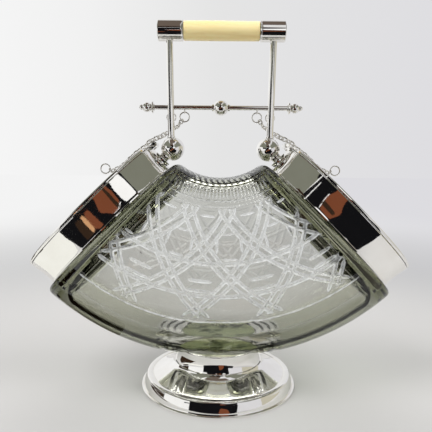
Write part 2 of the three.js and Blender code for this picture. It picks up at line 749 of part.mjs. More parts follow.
// A pin with a small head at each end.
function makeHingePin() {
  const seat = COLLAR_KNUCKLE_END + GAP;
  const end = seat + PIN_HEAD_LENGTH;
  return joined(
    hingeBarrel(HINGE_PIN_RADIUS, -seat - PIN_HEAD_LENGTH / 2, seat + PIN_HEAD_LENGTH / 2),
    hingeBarrel(PIN_HEAD_RADIUS, -end, -seat),
    hingeBarrel(PIN_HEAD_RADIUS, seat, end),
  );
}

// Post, nut and ball. The post is turned about its own axis, which runs from the collar to the ball.
const POST_SEAT = BALL_IN_MOUTH.x - BALL_RADIUS + BALL_SEAT_DEPTH;

function makePost() {
  const wall = COLLAR_HALF_LENGTH + collarFlare(BALL_IN_MOUTH.z);
  const base = wall - COLLAR_WALL - COLLAR_FLARE;
  const shoulder = wall + POST_BASE_HEIGHT;
  const profile = [
    [0, base],
    [POST_BASE_RADIUS, base],
    [POST_BASE_RADIUS, shoulder - POST_BASE_EDGE],
    [POST_BASE_RADIUS - POST_BASE_EDGE, shoulder],
    [POST_NECK_RADIUS + POST_NECK_HOLLOW, shoulder],
    [POST_NECK_RADIUS - POST_NECK_HOLLOW, (shoulder + POST_SEAT) / 2],
    [POST_NECK_RADIUS, POST_SEAT],
    [TENON_RADIUS, POST_SEAT],
    [TENON_RADIUS, POST_SEAT + TENON_LENGTH],
    [0, POST_SEAT + TENON_LENGTH],
  ];
  const collarSpace = loft(
    ovalProfile(COLLAR_HALF_LENGTH + GAP, COLLAR_HALF_WIDTH + GAP, [[0, -COLLAR_HEIGHT], ...collarWallPoints()]),
  );
  const head = cut(alongMouthX(turned(profile, POST_STEPS)), collarSpace);
  const shankEnd = COLLAR_HALF_LENGTH - COLLAR_WALL - NUT_HEIGHT - 2 * GAP;
  const shank = alongMouthX(rod(SHANK_RADIUS, shankEnd, wall + POST_BASE_HEIGHT / 2));
  return joined(head, shank);
}

function makePostNut() {
  const top = COLLAR_HALF_LENGTH - COLLAR_WALL - GAP;
  const blank = rod(NUT_RADIUS, top - NUT_HEIGHT, top, 6);
  return alongMouthX(cut(blank, rod(SHANK_RADIUS + GAP, top - NUT_HEIGHT - THROUGH, top + THROUGH)));
}

// The ball is bored for the post's tenon and, from above, for the arm's.
function makeBall() {
  const sphere = new THREE.SphereGeometry(BALL_RADIUS, BALL_STEPS, BALL_RINGS);
  sphere.rotateX(Math.PI / 2);
  sphere.translate(...BALL_POSITION);
  const seat = POST_SEAT + GAP;
  const below = joined(
    rod(POST_NECK_RADIUS + GAP, seat - POST_NECK_RADIUS, seat),
    rod(TENON_RADIUS + GAP, seat - POST_NECK_RADIUS, seat + TENON_LENGTH),
  );
  const postBore = positionsOnly(alongMouthX(below)).applyMatrix4(MOUTH_MATRIX);
  const armBore = joined(
    rod(ARM_RADIUS + GAP, 0, BALL_RADIUS),
    rod(TENON_RADIUS + GAP, -TENON_LENGTH - GAP, THROUGH),
  );
  return cut(sphere, postBore, inArmFrame(armBore));
}

// Arms. Each leans outward, so its pieces are made in a frame that stands at its foot.
const ARM_FOOT_X = -BALL_POSITION.x + ARM_FOOT_SHIFT;
const ARM_FOOT_Z = BALL_POSITION.z + BALL_RADIUS - ARM_FOOT_SEAT;
const ARM_HEAD_X = (GRIP_LENGTH + CAP_LENGTH) / 2 + GAP + ARM_HEAD_SHIFT;
const ARM_HEAD_Z = GRIP_Z - CAP_RADIUS + ARM_HEAD_SEAT;
const ARM_LEAN = Math.atan2(ARM_HEAD_X - ARM_FOOT_X, ARM_HEAD_Z - ARM_FOOT_Z);
const ARM_LENGTH = (ARM_HEAD_Z - ARM_FOOT_Z) / Math.cos(ARM_LEAN);

function inArmFrame(geometry) {
  const placed = geometry.clone();
  placed.rotateY(-ARM_LEAN);
  placed.translate(-ARM_FOOT_X, 0, ARM_FOOT_Z);
  return placed;
}

function armXAt(height) {
  return -ARM_FOOT_X - Math.tan(ARM_LEAN) * (height - ARM_FOOT_Z);
}

function makeArm() {
  const shaft = joined(
    rod(ARM_RADIUS, GAP, ARM_LENGTH),
    rod(TENON_RADIUS, -TENON_LENGTH + GAP, THROUGH),
    rod(TENON_RADIUS, ARM_LENGTH - THROUGH, ARM_LENGTH + ARM_HEAD_TENON),
  );
  const barBore = CROSSBAR_RADIUS + GAP;
  const barHole = new THREE.CylinderGeometry(barBore, barBore, 4 * ARM_RADIUS, SMALL_STEPS);
  barHole.rotateZ(Math.PI / 2);
  barHole.translate(armXAt(CROSSBAR_Z), 0, CROSSBAR_Z);
  const eyeBore = EYE_SHANK_RADIUS + GAP;
  const eyeHole = new THREE.CylinderGeometry(eyeBore, eyeBore, 2 * EYE_SHANK_LENGTH, SHANK_STEPS);
  eyeHole.translate(armXAt(ARM_EYE_Z), ARM_RADIUS, ARM_EYE_Z);
  return cut(inArmFrame(shaft), barHole, eyeHole);
}

// Grip: a cap at each end, the ivory sleeve and the steel rod that ties them
function alongX(geometry, centre = 0) {
  const laid = geometry.clone();
  laid.rotateY(Math.PI / 2);
  laid.translate(centre, 0, GRIP_Z);
  return laid;
}

function makeCap() {
  const inner = -GRIP_LENGTH / 2 - GAP;
  const outer = inner - CAP_LENGTH;
  const profile = [
    [0, -outer],
    [CAP_RADIUS - CAP_EDGE, -outer],
    [CAP_RADIUS, -outer - CAP_EDGE],
    [CAP_RADIUS, -inner + GRIP_EDGE],
    [CAP_RADIUS - GRIP_EDGE, -inner],
    [0, -inner],
  ];
  const blank = turned(profile, GRIP_STEPS);
  blank.rotateY(-Math.PI / 2);
  blank.translate(0, 0, GRIP_Z);
  const rodEnd = -GRIP_LENGTH / 2 - GRIP_ROD_REACH;
  const rodBore = alongX(rod(GRIP_ROD_RADIUS + GAP, rodEnd - THROUGH, inner + THROUGH));
  const armBore = joined(
    rod(ARM_RADIUS + GAP, ARM_LENGTH - CAP_RADIUS, ARM_LENGTH + GAP),
    rod(TENON_RADIUS + GAP, ARM_LENGTH, ARM_LENGTH + ARM_HEAD_TENON + GAP),
  );
  return cut(blank, rodBore, inArmFrame(armBore));
}

function makeGripRod() {
  const end = GRIP_LENGTH / 2 + GRIP_ROD_REACH;
  return alongX(rod(GRIP_ROD_RADIUS, -end, end));
}

function makeGrip() {
  const half = GRIP_LENGTH / 2;
  const bore = GRIP_ROD_RADIUS + GAP;
  const profile = [
    [bore, -half],
    [GRIP_RADIUS - GRIP_EDGE, -half],
    [GRIP_RADIUS, -half + GRIP_EDGE],
    [GRIP_RADIUS + GRIP_SWELL, 0],
    [GRIP_RADIUS, half - GRIP_EDGE],
    [GRIP_RADIUS - GRIP_EDGE, half],
    [bore, half],
    [bore, -half],
  ];
  return alongX(turned(profile, GRIP_STEPS));
}

// Crossbar, its ball and its finials, turned about X
function makeCrossbar() {
  const end = CROSSBAR_HALF_LENGTH - FINIAL_LENGTH;
  const bar = alongX(rod(CROSSBAR_RADIUS, -end - CROSSBAR_TENON, end + CROSSBAR_TENON));
  bar.translate(0, 0, CROSSBAR_Z - GRIP_Z);
  const holes = [-1, 1].map((side) => {
    const hole = rod(EYE_SHANK_RADIUS + GAP, -CROSSBAR_RADIUS - THROUGH, -GAP, SHANK_STEPS);
    hole.translate(side * BAR_EYE_X, 0, CROSSBAR_Z);
    return hole;
  });
  return cut(bar, ...holes);
}

function makeCrossbarBall() {
  const collarRadius = CROSSBAR_RADIUS + CROSSBAR_BALL_COLLAR;
  const reach = Math.acos(collarRadius / CROSSBAR_BALL_RADIUS);
  const ball = arc(0, 0, CROSSBAR_BALL_RADIUS, -reach, reach, 6);
  const end = CROSSBAR_BALL_RADIUS + CROSSBAR_BALL_COLLAR;
  const bore = CROSSBAR_RADIUS + GAP;
  const profile = [
    [bore, -end],
    [collarRadius, -end],
    ...ball,
    [collarRadius, end],
    [bore, end],
    [bore, -end],
  ];
  const piece = alongX(turned(profile, 14));
  piece.translate(0, 0, CROSSBAR_Z - GRIP_Z);
  return piece;
}

// Profile of a finial from its inner face outward: a disc, a bead and a button.
function makeFinial() {
  const start = CROSSBAR_HALF_LENGTH - FINIAL_LENGTH;
  const disc = start + FINIAL_DISC_START;
  const beadCentre = start + FINIAL_BEAD_CENTRE;
  const beadFrom = Math.acos(FINIAL_NECK_RADIUS / FINIAL_BEAD_RADIUS);
  const beadTo = Math.acos(FINIAL_WAIST_RADIUS / FINIAL_BEAD_RADIUS);
  const tipFrom = Math.acos(FINIAL_WAIST_RADIUS / FINIAL_TIP_RADIUS);
  const bead = arc(0, beadCentre, FINIAL_BEAD_RADIUS, -beadFrom, beadTo, 4);
  const tip = arc(0, CROSSBAR_HALF_LENGTH - FINIAL_TIP_RADIUS, FINIAL_TIP_RADIUS, -tipFrom, Math.PI / 2, 3);
  const profile = [
    [0, start + GAP],
    [FINIAL_NECK_RADIUS, start + GAP],
    [FINIAL_NECK_RADIUS, start + 1],
    [FINIAL_DISC_RADIUS, disc],
    [FINIAL_DISC_RADIUS, disc + FINIAL_DISC_WIDTH],
    ...bead,
    ...tip.slice(0, -1),
    [0, CROSSBAR_HALF_LENGTH],
  ];
  const blank = turned(profile, FINIAL_STEPS);
  const socket = rod(CROSSBAR_RADIUS + GAP, start - THROUGH, start + CROSSBAR_TENON + GAP);
  const piece = cut(blank, socket);
  piece.rotateY(-Math.PI / 2);
  piece.translate(0, 0, CROSSBAR_Z);
  return piece;
}

// Eyes and rings. An eye's loop lies in the YZ plane, and its shank points up unless it is turned.
function makeEye() {
  const loop = wireRing(EYE_LOOP_RADIUS, EYE_WIRE_RADIUS, EYE_STEPS);
  loop.rotateZ(Math.PI / 2);
  const shank = rod(EYE_SHANK_RADIUS, EYE_LOOP_RADIUS, EYE_LOOP_RADIUS + EYE_SHANK_LENGTH, SHANK_STEPS);
  return joined(loop, shank);
}

const BAR_EYE_Z = CROSSBAR_Z - CROSSBAR_RADIUS - EYE_LOOP_RADIUS - EYE_WIRE_RADIUS + EYE_SEAT;
const BAR_RING_TOP_Z = BAR_EYE_Z - EYE_DROP;
const ARM_EYE_Z = BAR_EYE_Z;
const ARM_EYE_Y = ARM_RADIUS + EYE_LOOP_RADIUS + EYE_WIRE_RADIUS - EYE_PLAY;

function makeBarEye() {
  const eye = makeEye();
  eye.translate(-BAR_EYE_X, 0, BAR_EYE_Z);
  return eye;
}

function makeBarRing() {
  const ring = wireRing(RING_RADIUS, RING_WIRE_RADIUS);
  ring.translate(-BAR_EYE_X, 0, BAR_RING_TOP_Z - RING_RADIUS);
  return ring;
}

function makeArmEye() {
  const eye = makeEye();
  eye.rotateX(Math.PI / 2);
  eye.translate(armXAt(ARM_EYE_Z), ARM_EYE_Y, ARM_EYE_Z);
  return eye;
}

function makeArmRing() {
  const ring = wireRing(ARM_RING_RADIUS, RING_WIRE_RADIUS);
  ring.translate(armXAt(ARM_EYE_Z), ARM_EYE_Y, ARM_EYE_Z - EYE_DROP - ARM_RING_RADIUS);
  return ring;
}

// The lid's eye stands on a small washer, and its pull ring leans towards the lid's middle.
const LID_SURFACE_Z = LID_RIM_TOP + domeHeight(LID_EYE_REACH / COLLAR_TOP_HALF_LENGTH);
const LID_EYE_Z = LID_SURFACE_Z + LID_EYE_HEIGHT;

function makeLidEye() {
  const loop = wireRing(LID_EYE_LOOP_RADIUS, EYE_WIRE_RADIUS, SMALL_STEPS);
  loop.rotateZ(Math.PI / 2);
  loop.translate(0, 0, LID_EYE_Z);
  const washerBottom = LID_SURFACE_Z + GAP;
  const washerTop = washerBottom + LID_EYE_WASHER_HEIGHT;
  const shankBottom = LID_SURFACE_Z - LID_WALL - THROUGH;
  const shank = rod(EYE_SHANK_RADIUS, shankBottom, LID_EYE_Z - LID_EYE_LOOP_RADIUS, SHANK_STEPS);
  const washer = rod(LID_EYE_WASHER_RADIUS, washerBottom, washerTop, SMALL_STEPS);
  const eye = joined(loop, washer, shank);
  eye.translate(LID_EYE_REACH, 0, 0);
  return eye;
}

function makeLidRing() {
  const ring = wireRing(RING_RADIUS, RING_WIRE_RADIUS);
  const away = RING_RADIUS + LID_RING_LIFT;
  ring.translate(
    LID_EYE_REACH - away * Math.sin(LID_RING_LEAN),
    0,
    LID_EYE_Z + away * Math.cos(LID_RING_LEAN),
  );
  return ring;
}

// Chains. The route runs from the bar ring, behind the arm, over the hinge and along the lid to its ring.
const CHAIN_ROUTE = [
  [-31.07, 0, 211.7],
  [-32.6, 0.4, 209.7],
  [-35.2, 3.8, 207.4],
  [-39, 6, 205.3],
  [-43.4, 5.2, 202.6],
  [-47.4, 3, 200.1],
  [-51.6, 1.2, 198.2],
  [-56, 0.2, 196],
  [-59.8, 0, 192.1],
  [-65.4, 0.2, 187.7],
  [-71.3, 0.8, 182.4],
  [-76.7, 1.4, 177.9],
  [-81.1, 2, 175.1],
  [-85.72, 2.2, 172.77],
];

// One link in the XY plane, long along X, with flat ends and bulging sides.
function link(halfLength, halfWidth) {
  const endHalf = halfWidth * 0.6;
  const corners = [
    [halfLength, -endHalf],
    [halfLength, endHalf],
    [0, halfWidth],
    [-halfLength, endHalf],
    [-halfLength, -endHalf],
    [0, -halfWidth],
  ];
  const rings = corners.map(([x, y]) => {
    const outward = new THREE.Vector3(x / halfLength, y / halfWidth, 0).normalize();
    const ring = [];
    for (let i = 0; i < CHAIN_WIRE_SIDES; i++) {
      const angle = (2 * Math.PI * (i + 0.5)) / CHAIN_WIRE_SIDES;
      const out = CHAIN_WIRE_RADIUS * Math.cos(angle);
      ring.push(
        new THREE.Vector3(x, y, CHAIN_WIRE_RADIUS * Math.sin(angle)).addScaledVector(outward, out),
      );
    }
    return ring;
  });
  return loft(rings, true);
}

// The links' places along the route, as shares of its length. The jump rings at the ends take wider steps.
function linkShares(length) {
  const pitch = 2 * LINK_HALF_LENGTH - LINK_OVERLAP;
  const endPitch = JUMP_RING_RADIUS + LINK_HALF_LENGTH - LINK_OVERLAP;
  const spans = 2 * Math.round((length - 2 * endPitch) / pitch / 2);
  const shares = [0];
  for (let i = 0; i <= spans; i++) {
    shares.push((endPitch + ((length - 2 * endPitch) * i) / spans) / length);
  }
  shares.push(1);
  return shares;
}

function makeChain() {
  const route = new THREE.CatmullRomCurve3(CHAIN_ROUTE.map((point) => new THREE.Vector3(...point)));
  const shares = linkShares(route.getLength());
  const links = shares.map((share, index) => {
    const isEnd = share === 0 || share === 1;
    const piece = isEnd
      ? link(JUMP_RING_RADIUS, JUMP_RING_RADIUS)
      : link(LINK_HALF_LENGTH, LINK_HALF_WIDTH);
    const along = route.getTangentAt(share);
    const across = new THREE.Vector3(0, 1, 0).cross(along).normalize();
    const beside = new THREE.Vector3().crossVectors(along, across);
    const basis =
      index % 2 === 0
        ? new THREE.Matrix4().makeBasis(along, beside, across.clone().negate())
        : new THREE.Matrix4().makeBasis(along, across, beside);
    basis.setPosition(route.getPointAt(share));
    return positionsOnly(piece).applyMatrix4(basis);
  });
  return joined(...links);
}

// Assembly
function named(name, geometry, material) {
  const mesh = new THREE.Mesh(geometry, MATERIALS[material].clone());
  mesh.name = name;
  return mesh;
}

// One side's pieces, made for the left. The mouth group carries those that belong to the tilted mouth.
function makeSide(side) {
  const mouth = new THREE.Group();
  mouth.position.copy(MOUTH_POSITION);
  mouth.rotation.copy(MOUTH_TURN);
  mouth.add(
    named(side + "_collar", makeCollar(), "silver"),
    named(side + "_collar_bedding", makeCollarBedding(), "plaster"),
    named(side + "_lid", makeLid(), "silver"),
    named(side + "_hinge_pin", makeHingePin(), "silver"),
    named(side + "_lid_eye", makeLidEye(), "silver"),
    named(side + "_lid_ring", makeLidRing(), "silver"),
    named(side + "_post", makePost(), "silver"),
    named(side + "_post_nut", makePostNut(), "steel"),
  );
  const group = new THREE.Group();
  group.add(
    mouth,
    named(side + "_ball", makeBall(), "silver"),
    named(side + "_arm", makeArm(), "silver"),
    named(side + "_cap", makeCap(), "silver"),
    named(side + "_finial", makeFinial(), "silver"),
    named(side + "_bar_eye", makeBarEye(), "silver"),
    named(side + "_bar_ring", makeBarRing(), "silver"),
    named(side + "_arm_eye", makeArmEye(), "silver"),
    named(side + "_arm_ring", makeArmRing(), "silver"),
    named(side + "_chain", makeChain(), "silver"),
  );
  return group;
}

const barrel = new THREE.Group();
barrel.add(
  named("foot", makeFoot(), "silver"),
  named("foot_bedding", makeFootBedding(), "plaster"),
  named("glass_body", makeGlassBody(), "glass"),
  named("grip", makeGrip(), "ivory"),
  named("grip_rod", makeGripRod(), "steel"),
  named("crossbar", makeCrossbar(), "silver"),
  named("crossbar_ball", makeCrossbarBall(), "silver"),
);

const left = makeSide("left");
const right = makeSide("right");
right.scale.x = -1;
barrel.add(left, right);

export default barrel;
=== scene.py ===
"""Looks of the fan-shaped cut-glass biscuit barrel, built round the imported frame.

Sizes are in millimetres, as in the CAD source, until a mesh is made. +X runs from mouth to mouth and +Y
points back. Lamps and the camera are placed in metres.
"""
import math

import bmesh
import bpy
import numpy as np
from mathutils import Matrix, Vector
from mathutils.geometry import delaunay_2d_cdt


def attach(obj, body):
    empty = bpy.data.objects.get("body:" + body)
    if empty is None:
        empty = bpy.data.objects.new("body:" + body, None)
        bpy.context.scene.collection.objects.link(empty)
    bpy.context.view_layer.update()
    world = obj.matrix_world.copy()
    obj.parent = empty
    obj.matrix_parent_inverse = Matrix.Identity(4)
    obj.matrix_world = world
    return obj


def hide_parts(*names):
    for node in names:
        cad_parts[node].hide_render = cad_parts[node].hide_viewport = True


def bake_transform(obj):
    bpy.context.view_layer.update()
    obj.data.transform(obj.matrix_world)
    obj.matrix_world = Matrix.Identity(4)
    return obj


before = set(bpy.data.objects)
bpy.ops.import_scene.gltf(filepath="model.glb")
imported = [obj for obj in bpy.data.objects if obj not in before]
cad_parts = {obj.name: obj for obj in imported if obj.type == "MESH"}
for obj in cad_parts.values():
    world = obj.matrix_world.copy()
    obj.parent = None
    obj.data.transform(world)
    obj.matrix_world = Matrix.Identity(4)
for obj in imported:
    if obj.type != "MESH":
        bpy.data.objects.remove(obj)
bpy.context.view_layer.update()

MM = 0.001
GAP = 0.3
QUARTER = math.pi / 2

# Glass
FLAT_HEIGHT = 33
GROUND_DEPTH = 7
SPINE_RADIUS = 125
SECTION_HALF_HEIGHT = 71
SECTION_HALF_DEPTH = 44.5
SECTION_POWER = 3
FAN_CENTRE_Z = FLAT_HEIGHT - GROUND_DEPTH + SPINE_RADIUS + SECTION_HALF_HEIGHT
MOUTH_TILT = math.pi / 4
MOUTH_PLANE_OFFSET = 5.8
MOUTH_REACH = SPINE_RADIUS + 1.4
SHOULDER_RADIUS = 4.5
SHOULDER_WALL = 8
INNER_WALL = 8
FACE_WALL = 8
FLOOR_WALL = 13
CAVITY_CORNER = 12
CAVITY_START = 1.2
CAVITY_CORNER_STEPS = 9
CAVITY_SWEEP_STEPS = 60
NECK_LENGTH = 15
NECK_WALL = 5.5
NECK_LIP = 1.5

# Collars and lids
OVAL_POWER = 2.3
OVAL_STEPS = 192
COLLAR_HALF_LENGTH = 65
COLLAR_HALF_WIDTH = 39.8
COLLAR_HEIGHT = 22
COLLAR_FLARE = 2
COLLAR_WALL = 1.5
COLLAR_BEAD = 0.7
COLLAR_BEAD_HEIGHT = 1.3
LIP_REACH = 5
LIP_HEIGHT = 1.2
LID_RIM_HEIGHT = 2.6
LID_DOME = 1.6
LID_WALL = 1.4
LID_FLANGE_DEPTH = 3.6
LID_FLANGE_WALL = 1.2
LID_FLANGE_GAP = 0.6
LID_TOP_ROUNDING = 1.05
LID_BASE_ROUNDING = 0.4
NECK_HALF_LENGTH = COLLAR_HALF_LENGTH - COLLAR_WALL - 4.5
NECK_HALF_WIDTH = COLLAR_HALF_WIDTH - COLLAR_WALL - 3
TOP_HALF_LENGTH = COLLAR_HALF_LENGTH + COLLAR_FLARE
TOP_HALF_WIDTH = COLLAR_HALF_WIDTH + COLLAR_FLARE
LID_BASE = COLLAR_HEIGHT + GAP
LID_RIM_TOP = LID_BASE + LID_RIM_HEIGHT

# Hinges
HINGE_REACH = TOP_HALF_LENGTH + 2.7
HINGE_HEIGHT = COLLAR_HEIGHT + GAP / 2
KNUCKLE_RADIUS = 2.2
KNUCKLE_BEVEL = 0.25
PIN_RADIUS = 0.9
PIN_HEAD_RADIUS = 1.6
PIN_HEAD_HEIGHT = 0.9
LID_KNUCKLE_EDGE = 4
COLLAR_KNUCKLE = (4.3, 8.8)
LEAF_THICKNESS = 1.5

# Handle
BALL_RADIUS = 9.3
POST_STEM = 3
POST_HEIGHT = 10.1
TENON_RADIUS = 1.9
ARM_RADIUS = 2.8
GRIP_RISE = 90.7
CAP_RADIUS = 8.1
CAP_LENGTH = 19.6
CAP_GROOVE = 0.12
GRIP_RADIUS = 7.3
GRIP_LENGTH = 58.8
GRIP_SWELL = 0.15
GRIP_BORE = 2.3
CROSSBAR_RISE = 32.3
CROSSBAR_RADIUS = 1.85
CROSSBAR_HALF_LENGTH = 64.3
FINIAL_LENGTH = 12.6
CROSSBAR_IN_FINIAL = 3.5
CROSSBAR_BALL_RADIUS = 6.1

# Eyes and rings
EYE_LOOP_RADIUS = 1.35
EYE_WIRE_RADIUS = 0.4
EYE_SHANK_RADIUS = 0.6
EYE_SHANK_LENGTH = 1.3
RING_RADIUS = 3.7
ARM_RING_RADIUS = 3.5
RING_WIRE_RADIUS = 0.55
BAR_EYE_X = 28.4
LID_EYE_REACH = 30
LID_EYE_HEIGHT = 6.2
LID_EYE_LOOP_RADIUS = 2.2
LID_RING_LEAN = 0.45
LID_RING_LIFT = 0.9
LID_SURFACE = LID_RIM_TOP + LID_DOME * (1 - (LID_EYE_REACH / TOP_HALF_LENGTH) ** 2)
LID_EYE_Z = LID_SURFACE + LID_EYE_HEIGHT

SIDES = (("left", -1), ("right", 1))

# The left mouth's own frame: local X runs towards the handle and local Z out of the mouth
MOUTH_FRAME = (
    Matrix.Translation(
        (
            MOUTH_PLANE_OFFSET * math.cos(MOUTH_TILT) - MOUTH_REACH * math.sin(MOUTH_TILT),
            0,
            FAN_CENTRE_Z - MOUTH_REACH * math.cos(MOUTH_TILT) - MOUTH_PLANE_OFFSET * math.sin(MOUTH_TILT),
        )
    )
    @ Matrix.Rotation(-MOUTH_TILT, 4, "Y")
)
BALL_IN_MOUTH = Vector((COLLAR_HALF_LENGTH + POST_STEM + BALL_RADIUS, 0, POST_HEIGHT))
BALL = MOUTH_FRAME @ BALL_IN_MOUTH
GRIP_Z = BALL.z + GRIP_RISE
CROSSBAR_Z = BALL.z + CROSSBAR_RISE
ARM_FOOT = Vector((BALL.x - 1.1, 0, BALL.z + BALL_RADIUS - 0.9))
ARM_HEAD = Vector((-(GRIP_LENGTH + CAP_LENGTH) / 2 - GAP - 0.9, 0, GRIP_Z - CAP_RADIUS + 1.2))
BAR_EYE_Z = CROSSBAR_Z - CROSSBAR_RADIUS - EYE_LOOP_RADIUS - EYE_WIRE_RADIUS + 0.2
EYE_DROP = EYE_LOOP_RADIUS - EYE_WIRE_RADIUS - RING_WIRE_RADIUS - 0.1
ARM_EYE_Y = ARM_RADIUS + EYE_LOOP_RADIUS + EYE_WIRE_RADIUS - 0.1


# Materials
def grey(level):
    return (level, level, level, 1)


def new_material(name):
    """A material without nodes, and its node tree."""
    material = bpy.data.materials.new(name)
    material.use_nodes = True
    material.node_tree.nodes.clear()
    return material, material.node_tree


def add_node(tree, kind, feeds=None, **settings):
    """A node with its settings. Feeds are the sockets that drive its inputs, by an input's name or number."""
    node = tree.nodes.new(kind)
    for key, value in settings.items():
        if hasattr(node, key):
            setattr(node, key, value)
        else:
            node.inputs[key.replace("_", " ")].default_value = value
    for key, socket in (feeds or {}).items():
        tree.links.new(socket, node.inputs[key])
    return node


def noise(tree, scale, detail, stretch=(1, 1, 1)):
    """A noise level on the piece's own coordinates, in metres, with its features drawn out by stretch."""
    place = add_node(tree, "ShaderNodeTexCoord").outputs["Object"]
    mapping = add_node(tree, "ShaderNodeMapping", {"Vector": place}, Scale=stretch).outputs["Vector"]
    node = add_node(tree, "ShaderNodeTexNoise", {"Vector": mapping}, Scale=scale, Detail=detail)
    return node.outputs["Fac"]


def ramp(tree, level, *stops):
    """The colour of a level between stops of (place, colour)."""
    node = add_node(tree, "ShaderNodeValToRGB", {"Fac": level})
    elements = node.color_ramp.elements
    while len(elements) < len(stops):
        elements.new(0.5)
    for element, (place, colour) in zip(elements, stops):
        element.position = place
        element.color = colour
    return node.outputs["Color"]


def bump(tree, height, strength, distance):
    node = add_node(tree, "ShaderNodeBump", {"Height": height}, Strength=strength, Distance=distance)
    return node.outputs["Normal"]


def of_two(tree, operation, first, second):
    """The result of a sum on two sockets."""
    return add_node(tree, "ShaderNodeMath", {0: first, 1: second}, operation=operation).outputs["Value"]


def mixed(tree, share, first, second):
    """Two shaders mixed by a socket."""
    return add_node(tree, "ShaderNodeMixShader", {"Fac": share, 1: first, 2: second}).outputs["Shader"]


def metal(name, dark, light, roughness, wear):
    """Polished metal whose tone and polish change a little over its surface."""
    material, tree = new_material(name)
    polish = noise(tree, 900, detail=6)
    feeds = {
        "Base Color": ramp(tree, noise(tree, 60, detail=3), (0.3, dark), (0.7, light)),
        "Roughness": ramp(tree, polish, (0.35, grey(roughness)), (0.75, grey(roughness + wear))),
        "Normal": bump(tree, polish, 0.02, 0.0002),
    }
    shader = add_node(tree, "ShaderNodeBsdfPrincipled", feeds, Metallic=1.0)
    add_node(tree, "ShaderNodeOutputMaterial", {"Surface": shader.outputs["BSDF"]})
    return material


def make_glass():
    """Thick lead glass with a grey-green body. Lamps reach through it, so that its shadow stays light.

    The level that the mesh carries for the cuts goes from 0 at a cut's edge to 1 at its middle. It paints a
    glint
    into the cuts: a white diffuse coat, seen only from outside and brightest near a cut's edges, for the
    light that polished cuts refract. Its shade is painted shade: how much darker and greener the glass is
    painted.
    """
    material, tree = new_material("cut_glass")
    painted_glint = add_node(tree, "ShaderNodeAttribute", attribute_name="painted_glint").outputs["Fac"]
    shade = add_node(tree, "ShaderNodeAttribute", attribute_name="shade").outputs["Fac"]
    # Painted shade: the glass is painted darker and greener where the mesh's shade is high.
    painted_shade_colour = ramp(tree, shade, (0.0, grey(1)), (0.5, (0.62, 0.64, 0.42, 1)), (1.0, (0.12, 0.13, 0.09, 1)))
    clear = add_node(
        tree, "ShaderNodeBsdfPrincipled", {"Base Color": painted_shade_colour}, Roughness=0.0, IOR=1.52, Transmission_Weight=1
    )
    # Painted glint: a white diffuse coat in the cuts, seen only from outside and brightest near a cut's
    # edges.
    painted_glint_coat = add_node(tree, "ShaderNodeBsdfDiffuse", Color=(0.93, 0.95, 0.96, 1))
    across = ramp(tree, painted_glint, (0.0, grey(0)), (0.3, grey(0.72)), (0.6, grey(0.42)), (1.0, grey(0.36)))
    uneven = ramp(tree, noise(tree, 230, detail=6), (0.36, grey(0.4)), (0.64, grey(1)))
    backfacing = add_node(tree, "ShaderNodeNewGeometry").outputs["Backfacing"]
    outside = add_node(tree, "ShaderNodeMath", {1: backfacing}, operation="SUBTRACT")
    outside.inputs[0].default_value = 1
    share = of_two(tree, "MULTIPLY", of_two(tree, "MULTIPLY", across, uneven), outside.outputs["Value"])
    surface = mixed(tree, share, clear.outputs["BSDF"], painted_glint_coat.outputs["BSDF"])
    let_through = add_node(tree, "ShaderNodeBsdfTransparent", Color=(0.86, 0.9, 0.87, 1))
    shadow_ray = add_node(tree, "ShaderNodeLightPath").outputs["Is Shadow Ray"]
    body = add_node(tree, "ShaderNodeVolumeAbsorption", Color=(0.567, 0.575, 0.508, 1), Density=52.0)
    feeds = {
        "Surface": mixed(tree, shadow_ray, surface, let_through.outputs["BSDF"]),
        "Volume": body.outputs["Volume"],
    }
    add_node(tree, "ShaderNodeOutputMaterial", feeds)
    return material


def make_ivory():
    material, tree = new_material("ivory_grip")
    grain = noise(tree, 140, detail=8, stretch=(0.12, 1, 1))
    tones = (0.3, (0.86, 0.63, 0.27, 1)), (0.52, (0.98, 0.8, 0.39, 1)), (0.75, (1, 0.89, 0.52, 1))
    feeds = {
        "Base Color": ramp(tree, grain, *tones),
        "Roughness": ramp(tree, grain, (0.3, grey(0.42)), (0.7, grey(0.26))),
        "Normal": bump(tree, grain, 0.12, 0.0002),
    }
    shader = add_node(tree, "ShaderNodeBsdfPrincipled", feeds, IOR=1.54, Subsurface_Weight=0.12)
    shader.inputs["Subsurface Radius"].default_value = (0.004, 0.0025, 0.0012)
    add_node(tree, "ShaderNodeOutputMaterial", {"Surface": shader.outputs["BSDF"]})
    return material


def make_cement(name, scale, dark, pale):
    material, tree = new_material(name)
    grain = noise(tree, scale, detail=4)
    feeds = {
        "Base Color": ramp(tree, grain, (0.32, dark), (0.48, pale)),
        "Normal": bump(tree, grain, 0.4, 0.0004),
    }
    shader = add_node(tree, "ShaderNodeBsdfPrincipled", feeds, Roughness=0.9)
    add_node(tree, "ShaderNodeOutputMaterial", {"Surface": shader.outputs["BSDF"]})
    return material


SILVER = metal("silver_plate", (0.91, 0.895, 0.86, 1), (0.97, 0.96, 0.935, 1), 0.02, 0.05)
STEEL = metal("steel", (0.4, 0.4, 0.39, 1), (0.56, 0.56, 0.55, 1), 0.28, 0.15)
GLASS = make_glass()
IVORY = make_ivory()
CEMENT = make_cement("mounting_cement", 700, (0.035, 0.032, 0.02, 1), (0.09, 0.085, 0.055, 1))
PLASTER = make_cement("foot_plaster", 80, (0.2, 0.19, 0.1, 1), (1, 0.96, 0.78, 1))


# Meshes
def add_object(name, mesh):
    piece = bpy.data.objects.new(name, mesh)
    bpy.context.scene.collection.objects.link(piece)
    return piece


